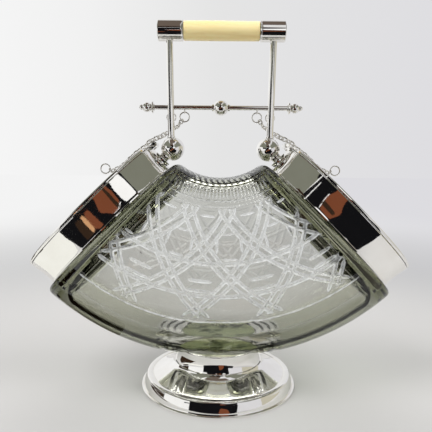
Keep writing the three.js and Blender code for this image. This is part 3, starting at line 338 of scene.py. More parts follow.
def shape(name, points, faces, material, sharp_angle=32, **levels):
    """A closed mesh from points in millimetres, its faces turned out and its edges kept crisp past an angle.

    Levels are numbers for each point that the material reads by name.
    """
    mesh = bpy.data.meshes.new(name)
    mesh.from_pydata((np.asarray(points, float) * MM).tolist(), [], faces)
    for level, values in levels.items():
        mesh.attributes.new(level, "FLOAT", "POINT").data.foreach_set("value", np.asarray(values, np.float32))
    work = bmesh.new()
    work.from_mesh(mesh)
    bmesh.ops.remove_doubles(work, verts=work.verts, dist=1e-7)
    bmesh.ops.recalc_face_normals(work, faces=work.faces)
    work.to_mesh(mesh)
    work.free()
    mesh.shade_smooth()
    mesh.set_sharp_from_angle(angle=math.radians(sharp_angle))
    mesh.materials.append(material)
    return add_object(name, mesh)


def settle(piece, body, slot, *nodes):
    """Gives a piece its body and hides the CAD nodes that it stands for.

    Its slot is not used.
    """
    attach(piece, body)
    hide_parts(*nodes)


def settle_silver(name, part, node, body="base"):
    settle(shape(name, *part, SILVER), body, "silver_plate", node)


def full_turn(steps):
    return np.linspace(0, 2 * math.pi, steps, endpoint=False)


def loft(rings, is_loop=False):
    """(points, faces) that skin rings of equally many points. Open lofts are capped."""
    rings = np.asarray(rings, float)
    count, steps = rings.shape[:2]
    faces = []
    for i in range(count if is_loop else count - 1):
        near, far = i * steps, ((i + 1) % count) * steps
        for j in range(steps):
            k = (j + 1) % steps
            faces.append((near + j, near + k, far + k, far + j))
    if not is_loop:
        last = (count - 1) * steps
        faces.append(tuple(range(steps - 1, -1, -1)))
        faces.append(tuple(range(last, last + steps)))
    return rings.reshape(-1, 3), faces


def merge(*parts):
    """One (points, faces) from several."""
    points, faces = [], []
    for part_points, part_faces in parts:
        first = sum(len(p) for p in points)
        points.append(np.asarray(part_points, float))
        faces += [tuple(first + i for i in face) for face in part_faces]
    return np.vstack(points), faces


def moved(part, matrix):
    points, faces = part
    grid = np.asarray(matrix, float)
    return np.asarray(points) @ grid[:3, :3].T + grid[:3, 3], faces


def shifted(part, x=0, y=0, z=0):
    return moved(part, Matrix.Translation((x, y, z)))


def on_side(part, side):
    """A left-hand part as it is, or mirrored for the right."""
    points, faces = part
    points = np.array(points, float)
    points[:, 0] *= -side
    return points, faces


def at_mouth(part, side):
    return on_side(moved(part, MOUTH_FRAME), side)


def bend(value, exponent):
    return np.sign(value) * np.abs(value) ** exponent


def smooth_step(share):
    share = np.clip(share, 0, 1)
    return share * share * (3 - 2 * share)


def oval_at(turn, half_length, half_width, height):
    """An oval's points at turns, at one height."""
    x = half_length * bend(np.cos(turn), 2 / OVAL_POWER)
    y = half_width * bend(np.sin(turn), 2 / OVAL_POWER)
    return np.column_stack([x, y, np.full(len(turn), float(height))])


def oval_rings(half_length, half_width, profile):
    """Ovals for a profile of (offset, height)."""
    return [oval_at(full_turn(OVAL_STEPS), half_length + o, half_width + o, h) for o, h in profile]


def arc(centre_u, centre_v, radius, start, end, steps):
    angles = np.linspace(start, end, steps + 1)
    return [(centre_u + radius * math.cos(a), centre_v + radius * math.sin(a)) for a in angles]


def turned(profile, steps):
    """A solid of revolution about +Z from (radius, height) pairs. A radius of 0 makes a pole."""
    points, faces, rows = [], [], []
    for radius, height in profile:
        start = len(points)
        if radius < 1e-6:
            points.append((0, 0, height))
            rows.append([start] * steps)
        else:
            points += [(radius * math.cos(a), radius * math.sin(a), height) for a in full_turn(steps)]
            rows.append(list(range(start, start + steps)))
    for near, far in zip(rows, rows[1:]):
        for j in range(steps):
            k = (j + 1) % steps
            face = tuple(dict.fromkeys([near[j], near[k], far[k], far[j]]))
            if len(face) > 2:
                faces.append(face)
    return np.array(points, float), faces


def turned_along_x(profile, steps, height, direction=1):
    """A solid of revolution about the level line at a height, its profile running towards +X or -X."""
    return shifted(moved(turned(profile, steps), Matrix.Rotation(direction * QUARTER, 4, "Y")), z=height)


def wire_loop(path, wire, sides):
    """A closed loop of round wire along points."""
    path = np.asarray(path, float)
    turn = full_turn(sides)
    rings = []
    up = None
    for behind, here, ahead in zip(np.roll(path, 1, axis=0), path, np.roll(path, -1, axis=0)):
        along = ahead - behind
        along /= np.linalg.norm(along)
        if up is None:
            up = np.cross(along, np.eye(3)[np.argmin(np.abs(along))])
        up = up - along * np.dot(up, along)
        up /= np.linalg.norm(up)
        beside = np.cross(along, up)
        rings.append(here + wire * (np.outer(np.cos(turn), up) + np.outer(np.sin(turn), beside)))
    return loft(rings, is_loop=True)


def wire_ring(radius, wire, steps=48, sides=12):
    """A ring of wire in the XZ plane, its middle at the origin."""
    turn = full_turn(steps)
    path = np.column_stack([radius * np.cos(turn), np.zeros(steps), radius * np.sin(turn)])
    return wire_loop(path, wire, sides)


# Glass body. Its outside is a section swept round the fan's centre, skinned with the cut pattern's facets.
SWEEP_STEPS = 220
SWEEP = np.linspace(-1, 1, SWEEP_STEPS + 1)
SHOULDER_STEPS = 7
SHOULDER_BAND = 11.0
# Painted shade: darker, greener glass painted on the shoulders, along the lower edge and on the underside.
SHOULDER_SHADE = 0.82
LOW_SHADE = 0.03
UNDER_SHADE = 0.35
SEAT_RADII = (34.0, 52.0)
SEAT_TOP = 70
SEAT_RIPPLE = 0.8
SEAT_PITCH = 6.0
TOP_BAND = 24
PATCH_END = 172
ROW_STEP = 3.0
EDGE_STEP = 1.3
FACET_STEP = 4.5
FACET_COLUMNS = 61
ROPE_PITCH = math.radians(4.6)
ROPE_DEPTH = 0.7
# Painted shade in the rope's notches.
ROPE_SHADE = 0.9
ROPE_REACH = 20.0
ROPE_FADE = 7
ROPE_END_SHARE = 1 / 12
ROPE_SLANT = 17.0


def angle_at(radius, depth):
    """The sweep's angle at a depth below the mouth's plane."""
    return MOUTH_TILT - np.arcsin((MOUTH_PLANE_OFFSET + depth) / radius)


class Section:
    """One oval section of the glass, measured by the way along its front from the top."""

    def __init__(self, centre, half_height, half_depth):
        self.centre = centre
        self.half_height = half_height
        self.half_depth = half_depth
        self.turn = np.linspace(0, math.pi, 6001)
        rise, out = self.rise_and_out(self.turn)
        self.way = np.concatenate([[0], np.cumsum(np.hypot(np.diff(rise), np.diff(out)))])
        self.length = self.way[-1]

    def rise_and_out(self, turn, inset=0):
        """How far a turn's point lies from the spine, away from the fan's centre and out to the front."""
        rise = -(self.half_height - inset) * bend(np.cos(turn), 2 / SECTION_POWER)
        return rise, (self.half_depth - inset) * bend(np.sin(turn), 2 / SECTION_POWER)

    def turn_at(self, way):
        return np.interp(way, self.way, self.turn)

    def radius_at(self, way):
        return self.centre + self.rise_and_out(self.turn_at(way))[0]

    def way_at(self, radius):
        share = np.clip((self.centre - radius) / self.half_height, -1, 1)
        return np.interp(np.arccos(bend(share, SECTION_POWER / 2)), self.turn, self.way)


INNER_RADIUS = SPINE_RADIUS - SECTION_HALF_HEIGHT + INNER_WALL
OUTER_RADIUS = SPINE_RADIUS + SECTION_HALF_HEIGHT - FLOOR_WALL
OUTSIDE = Section(SPINE_RADIUS, SECTION_HALF_HEIGHT, SECTION_HALF_DEPTH)
INSIDE = Section(
    (INNER_RADIUS + OUTER_RADIUS) / 2, (OUTER_RADIUS - INNER_RADIUS) / 2, SECTION_HALF_DEPTH - FACE_WALL
)


def section_turns():
    """The turns of a ring's points, down the front and up the back, and the patch's first and last."""
    top = np.arange(0, TOP_BAND, EDGE_STEP)
    face = np.linspace(TOP_BAND, PATCH_END, round((PATCH_END - TOP_BAND) / ROW_STEP) + 1)
    rest = round((OUTSIDE.length - PATCH_END) / (2 * EDGE_STEP))
    bottom = np.linspace(PATCH_END, OUTSIDE.length, rest + 1)[1:]
    front = OUTSIDE.turn_at(np.concatenate([top, face, bottom]))
    back = 2 * math.pi - front[1:-1][::-1]
    return np.concatenate([front, back]), len(top), len(top) + len(face) - 1


TURNS, PATCH_FIRST, PATCH_LAST = section_turns()
RING_COUNT = len(TURNS)


def fan_points(radius, angle, out):
    """Points at a radius and angle round the fan's centre, moved out to the front, which has negative Y."""
    return np.column_stack([radius * np.sin(angle), -out, FAN_CENTRE_Z - radius * np.cos(angle)])


def section_ring(section, inset, share, depth):
    """A ring of the section at a share of the sweep that ends at a depth below the mouth's plane."""
    rise, out = section.rise_and_out(TURNS, inset)
    radius = section.centre + rise
    return fan_points(radius, share * angle_at(radius, depth), out)


def rope_levels(share):
    """How deep a ring's points lie in the top edge's slanting notches, from 0 to 1, and their angles."""
    angle = share * angle_at(SPINE_RADIUS + OUTSIDE.rise_and_out(TURNS)[0], SHOULDER_RADIUS)
    behind = TURNS > math.pi
    folded = np.where(behind, 2 * math.pi - TURNS, TURNS)
    way = np.interp(folded, OUTSIDE.turn, OUTSIDE.way) * np.where(behind, -1, 1)
    phase = angle / ROPE_PITCH - way / ROPE_SLANT
    wave = np.abs(2 * (phase - np.floor(phase)) - 1)
    window = smooth_step((ROPE_REACH - np.abs(way)) / ROPE_FADE)
    return wave * window * smooth_step((1 - abs(share)) / ROPE_END_SHARE), angle


def rope(ring, share):
    level, angle = rope_levels(share)
    inward = np.column_stack([np.sin(angle), np.zeros(RING_COUNT), -np.cos(angle)])
    return ring + inward * (ROPE_DEPTH * level)[:, None]


def end_rings(section, end_depth, radius, side, start, steps):
    """Rings of a rounded end, from the sweep outward, down to start millimetres below the end plane."""
    rings = []
    for i in range(1, steps + 1):
        depth = radius + (start - radius) * i / steps
        inset = radius - math.sqrt(radius * radius - (radius - depth) ** 2)
        rings.append(section_ring(section, inset, side, end_depth + depth))
    return rings


def in_mouth(points):
    """The points in the left mouth's own frame."""
    return moved((points, []), MOUTH_FRAME.inverted())[0]


def neck_ring(like, offset, height, side):
    """An oval of the neck whose points lie in the same directions as those of the ring it joins."""
    length, width = NECK_HALF_LENGTH + offset, NECK_HALF_WIDTH + offset
    local = in_mouth(on_side((like, []), side)[0])
    turn = np.arctan2(local[:, 1] / width, local[:, 0] / length)
    return at_mouth((oval_at(turn, length, width, height), []), side)[0]


def neck_rings(like, side):
    """The neck's outside, rounded lip and bore, from the shoulder to the cavity."""
    profile = [(0, 0), (0, NECK_LENGTH - NECK_LIP)]
    for edge, inward, turns in ((0, -1, (30, 60, 90)), (-NECK_WALL, 1, (90, 60, 30, 0))):
        for turn in map(math.radians, turns):
            inset = inward * NECK_LIP * (1 - math.cos(turn))
            profile.append((edge + inset, NECK_LENGTH - NECK_LIP * (1 - math.sin(turn))))
    profile += [(-NECK_WALL, 0), (-NECK_WALL, -SHOULDER_WALL - 1)]
    return [neck_ring(like, offset, height, side) for offset, height in profile]


def glass_rings():
    """Closed loop of rings: the outside's SWEEP_STEPS + 1, the right neck, the cavity and the left neck."""
    outside = [rope(section_ring(OUTSIDE, 0, share, SHOULDER_RADIUS), share) for share in SWEEP]
    ends = {}
    for _, side in SIDES:
        shoulder = end_rings(OUTSIDE, 0, SHOULDER_RADIUS, side, 0, SHOULDER_STEPS)
        cavity = end_rings(INSIDE, SHOULDER_WALL, CAVITY_CORNER, side, CAVITY_START, CAVITY_CORNER_STEPS)
        ends[side] = shoulder + neck_rings(shoulder[-1], side) + cavity[::-1]
    inside = [
        section_ring(INSIDE, 0, share, SHOULDER_WALL + CAVITY_CORNER)
        for share in np.linspace(1, -1, CAVITY_SWEEP_STEPS + 1)
    ]
    return outside + ends[1] + inside + ends[-1][::-1]


# Cut pattern, drawn on the front unrolled flat, where lengths are true along the surface
LATTICE_RADIUS = SPINE_RADIUS - 21.25
LATTICE_ANGLE = 13.7
LATTICE_PITCH = 20.0
LATTICE_RISE = 23.5
LATTICE_TOP = SPINE_RADIUS - 49
LATTICE_BOTTOM = SPINE_RADIUS + 31
STRAND_APART = 3.7
BOX_HALF_ANGLE = math.radians(4.9)
DASH_HALF_ANGLE = math.radians(4)
SHORT_DASH_HALF_ANGLE = math.radians(3)
WIDE_ANGLE = math.radians(46)
ARC_RADII = (SPINE_RADIUS - 9.3, SPINE_RADIUS + 14.5)
BORDER_RADIUS = SPINE_RADIUS + 34.5
SIDE_MARGIN = 5.0
CUT_HALF_WIDTH = 1.8
CUT_SLOPE = 0.36
LINE_HALF_WIDTH = 1.1
LINE_SLOPE = 0.25
LINE_RADII = (58.4, 60.6)
FLUTE_SLOPE = 0.3
# The share of the painted glint that the flutes get.
FLUTE_PAINTED_GLINT = 0.15
FLUTE_RADII = (62.4, 69.4)
FLUTE_PITCH = 2.25
FLUTE_BORDER_RADII = (70.8, 75.0)
CUT_SAMPLES = np.linspace(0, 1, 240)
FEWEST_SAMPLES = 8
SHORTEST_CUT = 5
CUT_STEP = 5.0
CUT_END_STEPS = (0.6, 2.0)
CUT_POINT_LENGTH = 2.5
CUT_MARGIN = 0.7
FAR_OUTSIDE = -9.0


def flat_point(angle, way):
    """Place on the unrolled front of a point at an angle in radians and a way from the section's top."""
    reach = OUTSIDE.radius_at(TOP_BAND) - TOP_BAND + np.asarray(way, float)
    return np.stack([reach * np.sin(angle), -reach * np.cos(angle)], axis=-1)


def from_flat(points):
    """The angles and ways of points on the unrolled front."""
    points = np.asarray(points, float)
    reach = np.hypot(points[..., 0], points[..., 1])
    return np.arctan2(points[..., 0], -points[..., 1]), reach - OUTSIDE.radius_at(TOP_BAND) + TOP_BAND


def line_in_field(angle, radius, half_width):
    """A cut along a path, clipped to the field's sides. None if little is left."""
    inside = np.abs(angle) < angle_at(radius, SHOULDER_RADIUS + SIDE_MARGIN)
    if inside.sum() < FEWEST_SAMPLES:
        return None
    line = flat_point(angle[inside], OUTSIDE.way_at(radius[inside]))
    lengths = np.concatenate([[0], np.cumsum(np.linalg.norm(np.diff(line, axis=0), axis=1))])
    length = lengths[-1]
    if length < SHORTEST_CUT:
        return None
    spots = np.linspace(0, length, max(3, round(length / CUT_STEP)) + 1)
    steps = np.array(CUT_END_STEPS)
    spots = np.unique(np.concatenate([spots, steps, length - steps]))
    line = np.column_stack([np.interp(spots, lengths, line[:, k]) for k in (0, 1)])
    from_end = np.minimum(spots, length - spots)
    return line, half_width * np.sqrt(np.clip(from_end / CUT_POINT_LENGTH, 0, 1))


def cut_lines():
    """Every cut of one face, as (soft cuts, narrow lines, flutes). A cut is (points, half widths)."""
    soft, narrow, flutes = [], [], []

    def add(cuts, angles, radii, half_width):
        line = line_in_field(angles, radii, half_width)
        if line is not None:
            cuts.append(line)

    def level(cuts, centre, reach, radius, half_width):
        angles = np.interp(CUT_SAMPLES, (0, 1), (centre - reach, centre + reach))
        add(cuts, angles, np.full(len(angles), float(radius)), half_width)

    def upright(cuts, angle, low, high, half_width):
        radii = np.interp(CUT_SAMPLES, (0, 1), (low, high))
        add(cuts, np.full(len(radii), angle), radii, half_width)

    def lattice_angle(column):
        return math.radians(LATTICE_ANGLE + LATTICE_PITCH * column)

    slope = math.radians(LATTICE_PITCH / 2) / LATTICE_RISE
    radii = np.linspace(LATTICE_TOP, LATTICE_BOTTOM, len(CUT_SAMPLES))
    for column in range(-5, 5):
        for lean in (-1, 1):
            for offset in (-STRAND_APART, STRAND_APART):
                angles = lattice_angle(column) + lean * slope * (radii - LATTICE_RADIUS) + offset / radii
                add(soft, angles, radii, CUT_HALF_WIDTH)
    for radius in ARC_RADII:
        level(soft, 0, WIDE_ANGLE, radius, CUT_HALF_WIDTH)
    for column in range(-3, 3):
        centre = lattice_angle(column + 0.5)
        for side in (-1, 1):
            upright(soft, centre + side * BOX_HALF_ANGLE, LATTICE_RADIUS - 7.5, LATTICE_RADIUS + 4.5, 1.3)
        for rise in (-9.7, 8.7):
            level(soft, centre, SHORT_DASH_HALF_ANGLE, LATTICE_RADIUS + rise, 1.2)
    for column in range(-3, 4):
        for rise, half_width in ((-22.2, 1.2), (24.8, 1.6), (32.2, 1.6)):
            level(soft, lattice_angle(column), DASH_HALF_ANGLE, LATTICE_RADIUS + rise, half_width)
    level(soft, 0, WIDE_ANGLE, BORDER_RADIUS, 0.9)
    for radius in LINE_RADII:
        level(narrow, 0, WIDE_ANGLE, radius, LINE_HALF_WIDTH)
    for radius in FLUTE_BORDER_RADII:
        level(flutes, 0, WIDE_ANGLE, radius, 0.8)
    for column in range(-19, 20):
        upright(flutes, math.radians(column * FLUTE_PITCH), *FLUTE_RADII, 0.9)
    return soft, narrow, flutes


def cut_depths(points, lines):
    """How far inside the nearest cut's edge each flat point lies. Negative values are distances outside."""
    depth = np.full(len(points), FAR_OUTSIDE)
    for line, widths in lines:
        low, high = line.min(0) - 3, line.max(0) + 3
        near = np.flatnonzero(((points > low) & (points < high)).all(1))
        if not len(near):
            continue
        spots = points[near]
        best = np.full(len(near), FAR_OUTSIDE)
        for a, b, wide_a, wide_b in zip(line, line[1:], widths, widths[1:]):
            along = b - a
            share = np.clip(((spots - a) @ along) / (along @ along), 0, 1)
            away = np.linalg.norm(spots - a - share[:, None] * along, axis=1)
            best = np.maximum(best, wide_a + (wide_b - wide_a) * share - away)
        depth[near] = np.maximum(depth[near], best)
    return depth


def patch_outline(rows, ways, radii):
    """The patch's border, anticlockwise on the unrolled front, and the (ring, row) of each of its points."""
    places = [(i, PATCH_FIRST) for i in range(SWEEP_STEPS + 1)]
    places += [(SWEEP_STEPS, j) for j in rows][1:]
    places += [(i, PATCH_LAST) for i in range(SWEEP_STEPS - 1, -1, -1)]
    places += [(0, j) for j in reversed(rows)][1:-1]
    places.reverse()
    border = []
    for i, j in places:
        k = j - PATCH_FIRST
        border.append(flat_point(SWEEP[i] * angle_at(radii[k], SHOULDER_RADIUS), ways[k]))
    return border, places


def patch_mesh():
    """The front's facets: points, triangles, painted glint level, painted shade, and the (ring, row) of each
    border point.
    """
    rows = range(PATCH_FIRST, PATCH_LAST + 1)
    ways = np.interp(TURNS[list(rows)], OUTSIDE.turn, OUTSIDE.way)
    border, places = patch_outline(rows, ways, OUTSIDE.radius_at(ways))
    points = [tuple(p) for p in border]
    edges = []
    cuts = cut_lines()
    for line, widths in sum(cuts, []):
        along = np.gradient(line, axis=0)
        along /= np.linalg.norm(along, axis=1)[:, None]
        beside = np.column_stack([-along[:, 1], along[:, 0]])
        for sign in (-1, 0, 1):
            first = len(points)
            strand = line + sign * beside * widths[:, None]
            points += [tuple(p) for p in strand]
            edges += [(first + n, first + n + 1) for n in range(len(strand) - 1)]
    grid = []
    for share in np.linspace(-1, 1, FACET_COLUMNS)[1:-1]:
        for way in np.arange(ways[0] + 3, ways[-1] - 2, FACET_STEP):
            grid.append(flat_point(share * angle_at(OUTSIDE.radius_at(way), SHOULDER_RADIUS), way))
    grid = np.array(grid)
    points += [tuple(p) for p in grid[cut_depths(grid, sum(cuts, [])) < -CUT_MARGIN]]
    outline = [list(range(len(border)))]
    corners = [Vector(p) for p in points]
    flat, _, faces, origins, _, _ = delaunay_2d_cdt(corners, edges, outline, 1, 1e-4, True)
    flat = np.array([tuple(v) for v in flat])
    place_of = {}
    for index, sources in enumerate(origins):
        for source in sources:
            if source < len(border):
                place_of[index] = places[source]
    in_soft, in_narrow, in_flutes = (np.clip(cut_depths(flat, lines), 0, None) for lines in cuts)
    depth = np.maximum(np.maximum(CUT_SLOPE * in_soft, LINE_SLOPE * in_narrow), FLUTE_SLOPE * in_flutes)
    angle, way = from_flat(flat)
    rise, out = OUTSIDE.rise_and_out(OUTSIDE.turn_at(way))
    steep = rise * np.abs(rise) / SECTION_HALF_HEIGHT**3
    normal = np.column_stack([steep, out * out / SECTION_HALF_DEPTH**3])
    normal /= np.linalg.norm(normal, axis=1)[:, None]
    solid = fan_points(SPINE_RADIUS + rise - normal[:, 0] * depth, angle, out - normal[:, 1] * depth)
    # Painted glint in the soft cuts and a little in the flutes; painted shade darkens the narrow lines.
    painted_glint = np.maximum(np.clip(in_soft / CUT_HALF_WIDTH, 0, 1), FLUTE_PAINTED_GLINT * np.clip(in_flutes, 0, 1))
    shade = np.clip(in_narrow / LINE_HALF_WIDTH, 0, 1)
    _, middle_ways = from_flat(np.array([flat[list(face)].mean(0) for face in faces]))
    faces = [tuple(face) for face, way in zip(faces, middle_ways) if way > ways[0] - 0.3]
    return solid, faces, painted_glint, shade, place_of


def edge_shade(points):
    """How much painted shade the outside gets where the glass behind it is thick: most on the shoulders."""
    folded = np.array(points)
    folded[:, 0] = -np.abs(folded[:, 0])
    below = -in_mouth(folded)[:, 2]
    radius = np.hypot(folded[:, 0], FAN_CENTRE_Z - folded[:, 2])
    shoulder = SHOULDER_SHADE * smooth_step((SHOULDER_BAND - below) / 5) * (below > -0.5)
    low = LOW_SHADE * smooth_step((radius - BORDER_RADIUS) / 12)
    low += UNDER_SHADE * smooth_step((radius - SPINE_RADIUS - 59) / 9)
    seat = smooth_step((SEAT_RADII[1] + 3 - np.hypot(*points.T[:2])) / 4) * (points[:, 2] < SEAT_TOP)
    return np.maximum(shoulder, low * (1 - seat))


def seat_ripple(points):
    """How far the rings round the glass's seat on the foot are let into its underside."""
    reach = np.hypot(*points.T[:2])
    low, high = SEAT_RADII
    window = smooth_step((reach - low) / 3) * smooth_step((high - reach) / 3) * (points[:, 2] < SEAT_TOP)
    return SEAT_RIPPLE * window * (1 - np.cos(2 * math.pi * (reach - low) / SEAT_PITCH)) / 2


def make_glass_body():
    """The swept glass, with both faces' middle rows replaced by the cut pattern's facets."""
    points, faces = loft(glass_rings(), is_loop=True)
    covered = set(range(PATCH_FIRST, PATCH_LAST))
    covered |= {RING_COUNT - 1 - row for row in covered}
    kept = []
    for index, face in enumerate(faces):
        ring, row = divmod(index, RING_COUNT)
        if ring >= SWEEP_STEPS or row not in covered:
            kept.append(face)
    order = np.arange(len(points))
    outside = order < RING_COUNT * (SWEEP_STEPS + 1 + SHOULDER_STEPS)
    outside |= order >= len(points) - RING_COUNT * SHOULDER_STEPS
    points = list(points)
    # Painted glint for each point, and painted shade that darkens the rope's notches.
    painted_glints = [0.0] * len(points)
    shades = [ROPE_SHADE * level**3 for share in SWEEP for level in rope_levels(share)[0]]
    shades += [0.0] * (len(points) - len(shades))
    solid, triangles, painted_glint, shade, place_of = patch_mesh()
    for is_back in (False, True):
        number = {}
        for index, spot in enumerate(solid):
            if index in place_of:
                ring, row = place_of[index]
                number[index] = ring * RING_COUNT + ((RING_COUNT - row) % RING_COUNT if is_back else row)
            else:
                number[index] = len(points)
                points.append(spot * (1, -1 if is_back else 1, 1))
                painted_glints.append(painted_glint[index])
                shades.append(shade[index])
        kept += [tuple(number[i] for i in face) for face in triangles]
    points = np.array(points)
    points[:, 2] = np.maximum(points[:, 2], FLAT_HEIGHT)
    outside = np.concatenate([outside, np.ones(len(points) - len(outside), bool)])
    # Painted shade on the shoulders, the lower edge and the underside, none round the seat.
    shades = np.maximum(shades, edge_shade(points) * outside)
    points[:, 2] += seat_ripple(points) * outside
    used = sorted({i for face in kept for i in face})
    renumber = {old: new for new, old in enumerate(used)}
    kept = [tuple(renumber[i] for i in face) for face in kept]
    levels = {"painted_glint": np.array(painted_glints)[used], "shade": shades[used]}
    return shape("glass_body_cut", points[used], kept, GLASS, sharp_angle=17, **levels)


settle(make_glass_body(), "base", "cut_glass", "glass_body")


# Foot
FOOT_RIM_RADIUS = 62.5
FOOT_WALL = 1.6
FOOT_CUP_DEPTH = 3.5
FOOT_CUP_RADIUS = 31
FOOT_HEAD_RADIUS = 33.1
FOOT_NECK_RADIUS = 34.4
FOOT_DOME_RADIUS = 52.5
FOOT_BAND_RADIUS = 60.5


def leaning(radius, low, high, lean_low, lean_high, steps):
    """Profile points that rise from low to high while their lean from the upright goes between two angles."""
    heights = np.linspace(low, high, steps + 1)
    out = [(radius, low)]
    for a, b in zip(heights, heights[1:]):
        share = ((a + b) / 2 - low) / (high - low)
        radius -= (b - a) * math.tan(math.radians(lean_low + (lean_high - lean_low) * share))
        out.append((radius, b))
    return out


def make_foot():
    """A spun foot: flange, leaning band, step, dome and waisted neck."""
    top = FLAT_HEIGHT - GAP
    floor = FLAT_HEIGHT - FOOT_CUP_DEPTH
    flange = [(FOOT_RIM_RADIUS, 0), *arc(FOOT_RIM_RADIUS - 0.6, 0.9, 0.6, 0, QUARTER, 5)]
    flange += [(61.3, 1.4), (61.1, 0.9), (60.7, 0.9), (60.6, 1.6)]
    band = leaning(FOOT_BAND_RADIUS, 1.8, 8.6, 12, 23, 12)
    band_top, step_z = band[-1][0], band[-1][1] + 1.5
    step = arc(band_top - 1.5, step_z - 1.5, 1.5, 0.4, QUARTER, 8)
    step += [(54.2, step_z), (53.8, step_z - 0.15), (53.6, step_z - 0.6)]
    step += [(53.1, step_z - 0.6), (52.9, step_z - 0.2)]
    dome = leaning(FOOT_DOME_RADIUS, step_z - 0.1, 16.2, 72, 61, 16)
    dome += leaning(*dome[-1], 19.6, 58, 25, 10)[1:]
    neck = [(35.3, 19.8), (35.3, 20.1), *leaning(FOOT_NECK_RADIUS, 20.2, 27.4, 19, 6, 14)]
    waist, waist_z = neck[-1]
    for share in np.linspace(0.08, 1, 12):
        spread = (FOOT_HEAD_RADIUS - waist) * share**1.6
        neck.append((waist + spread, waist_z + (top - 0.9 - waist_z) * share))
    neck += arc(FOOT_HEAD_RADIUS - 0.5, top - 0.5, 0.5, 0, QUARTER, 4)
    cup = [(FOOT_HEAD_RADIUS - FOOT_WALL, top), (FOOT_HEAD_RADIUS - FOOT_WALL, floor), (0, floor)]
    bore = FOOT_CUP_RADIUS - FOOT_WALL
    hollow = [(0, floor - FOOT_WALL), (bore, floor - FOOT_WALL), (bore, 19.0), (37.5, 13.6)]
    hollow += [(49.5, 7.2), (54.5, 7.2), (57, 1.6), (57, 0)]
    settle_silver("foot_spun", turned([*hollow, *flange, *band, *step, *dome, *neck, *cup], 200), "foot")


make_foot()


# Collars and lids
def flare_at(height):
    return COLLAR_FLARE * float(smooth_step(height / COLLAR_HEIGHT))


def trumpet_at(height):
    """The collar's outside, whose slope grows from the glass to the lid."""
    share = min(height / COLLAR_HEIGHT, 1)
    return 2 * COLLAR_FLARE * (share**3 - share**4 / 2)


def on_hinge(profile, steps):
    """A solid of revolution about the hinge's line."""
    part = moved(turned(profile, steps), Matrix.Rotation(-QUARTER, 4, "X"))
    return shifted(part, HINGE_REACH, 0, HINGE_HEIGHT)


def knuckle(start, end):
    radius, bevel = KNUCKLE_RADIUS, KNUCKLE_BEVEL
    profile = [(0, start), (radius - bevel, start), (radius, start + bevel)]
    return on_hinge([*profile, (radius, end - bevel), (radius - bevel, end), (0, end)], 40)


def block(low, high):
    corners = [(x, y, z) for x in (low[0], high[0]) for y in (low[1], high[1]) for z in (low[2], high[2])]
    faces = [(0, 1, 3, 2), (4, 6, 7, 5), (0, 4, 5, 1), (2, 3, 7, 6), (0, 2, 6, 4), (1, 5, 7, 3)]
    return np.array(corners, float), faces


def make_collar(name, side):
    top = COLLAR_HEIGHT - 0.4
    bead_top = GAP + COLLAR_BEAD_HEIGHT
    outer = [(0, GAP), (COLLAR_BEAD - 0.2, GAP), (COLLAR_BEAD, GAP + 0.3), (COLLAR_BEAD, bead_top - 0.2)]
    outer += [(COLLAR_BEAD - 0.2, bead_top), (0.05, bead_top + 0.1)]
    outer += [(trumpet_at(h), h) for h in np.linspace(bead_top + 0.8, top, 24)]
    outer += [(COLLAR_FLARE - 0.25, COLLAR_HEIGHT)]
    lip_low = NECK_LENGTH + GAP
    lip_top = lip_low + LIP_HEIGHT
    inner = [
        (COLLAR_FLARE - COLLAR_WALL + 0.2, COLLAR_HEIGHT),
        (COLLAR_FLARE - COLLAR_WALL, COLLAR_HEIGHT - 0.3),
        (flare_at(lip_top) - COLLAR_WALL, lip_top + 0.6),
        (flare_at(lip_top) - COLLAR_WALL - 0.6, lip_top),
        (-COLLAR_WALL - LIP_REACH + 0.4, lip_top),
        (-COLLAR_WALL - LIP_REACH, lip_top - 0.4),
        (-COLLAR_WALL - LIP_REACH, lip_low),
        (flare_at(lip_low) - COLLAR_WALL, lip_low),
        (-COLLAR_WALL, GAP),
    ]
    parts = [loft(oval_rings(COLLAR_HALF_LENGTH, COLLAR_HALF_WIDTH, outer + inner), is_loop=True)]
    for sign in (-1, 1):
        start, end = sorted(sign * value for value in COLLAR_KNUCKLE)
        parts.append(knuckle(start, end))
        low = (TOP_HALF_LENGTH - 1.2, start + 0.2, top - LEAF_THICKNESS)
        parts.append(block(low, (HINGE_REACH, end - 0.2, top)))
    settle_silver(f"{name}_collar_shell", at_mouth(merge(*parts), side), f"{name}_collar")


def dome_rings(inset, base, shares):
    """Ovals of a low dome, for shares of the way from its middle to its edge."""
    length, width = TOP_HALF_LENGTH - inset, TOP_HALF_WIDTH - inset
    turn = full_turn(OVAL_STEPS)
    return [oval_at(turn, length * s, width * s, base + LID_DOME * (1 - s**2)) for s in shares]


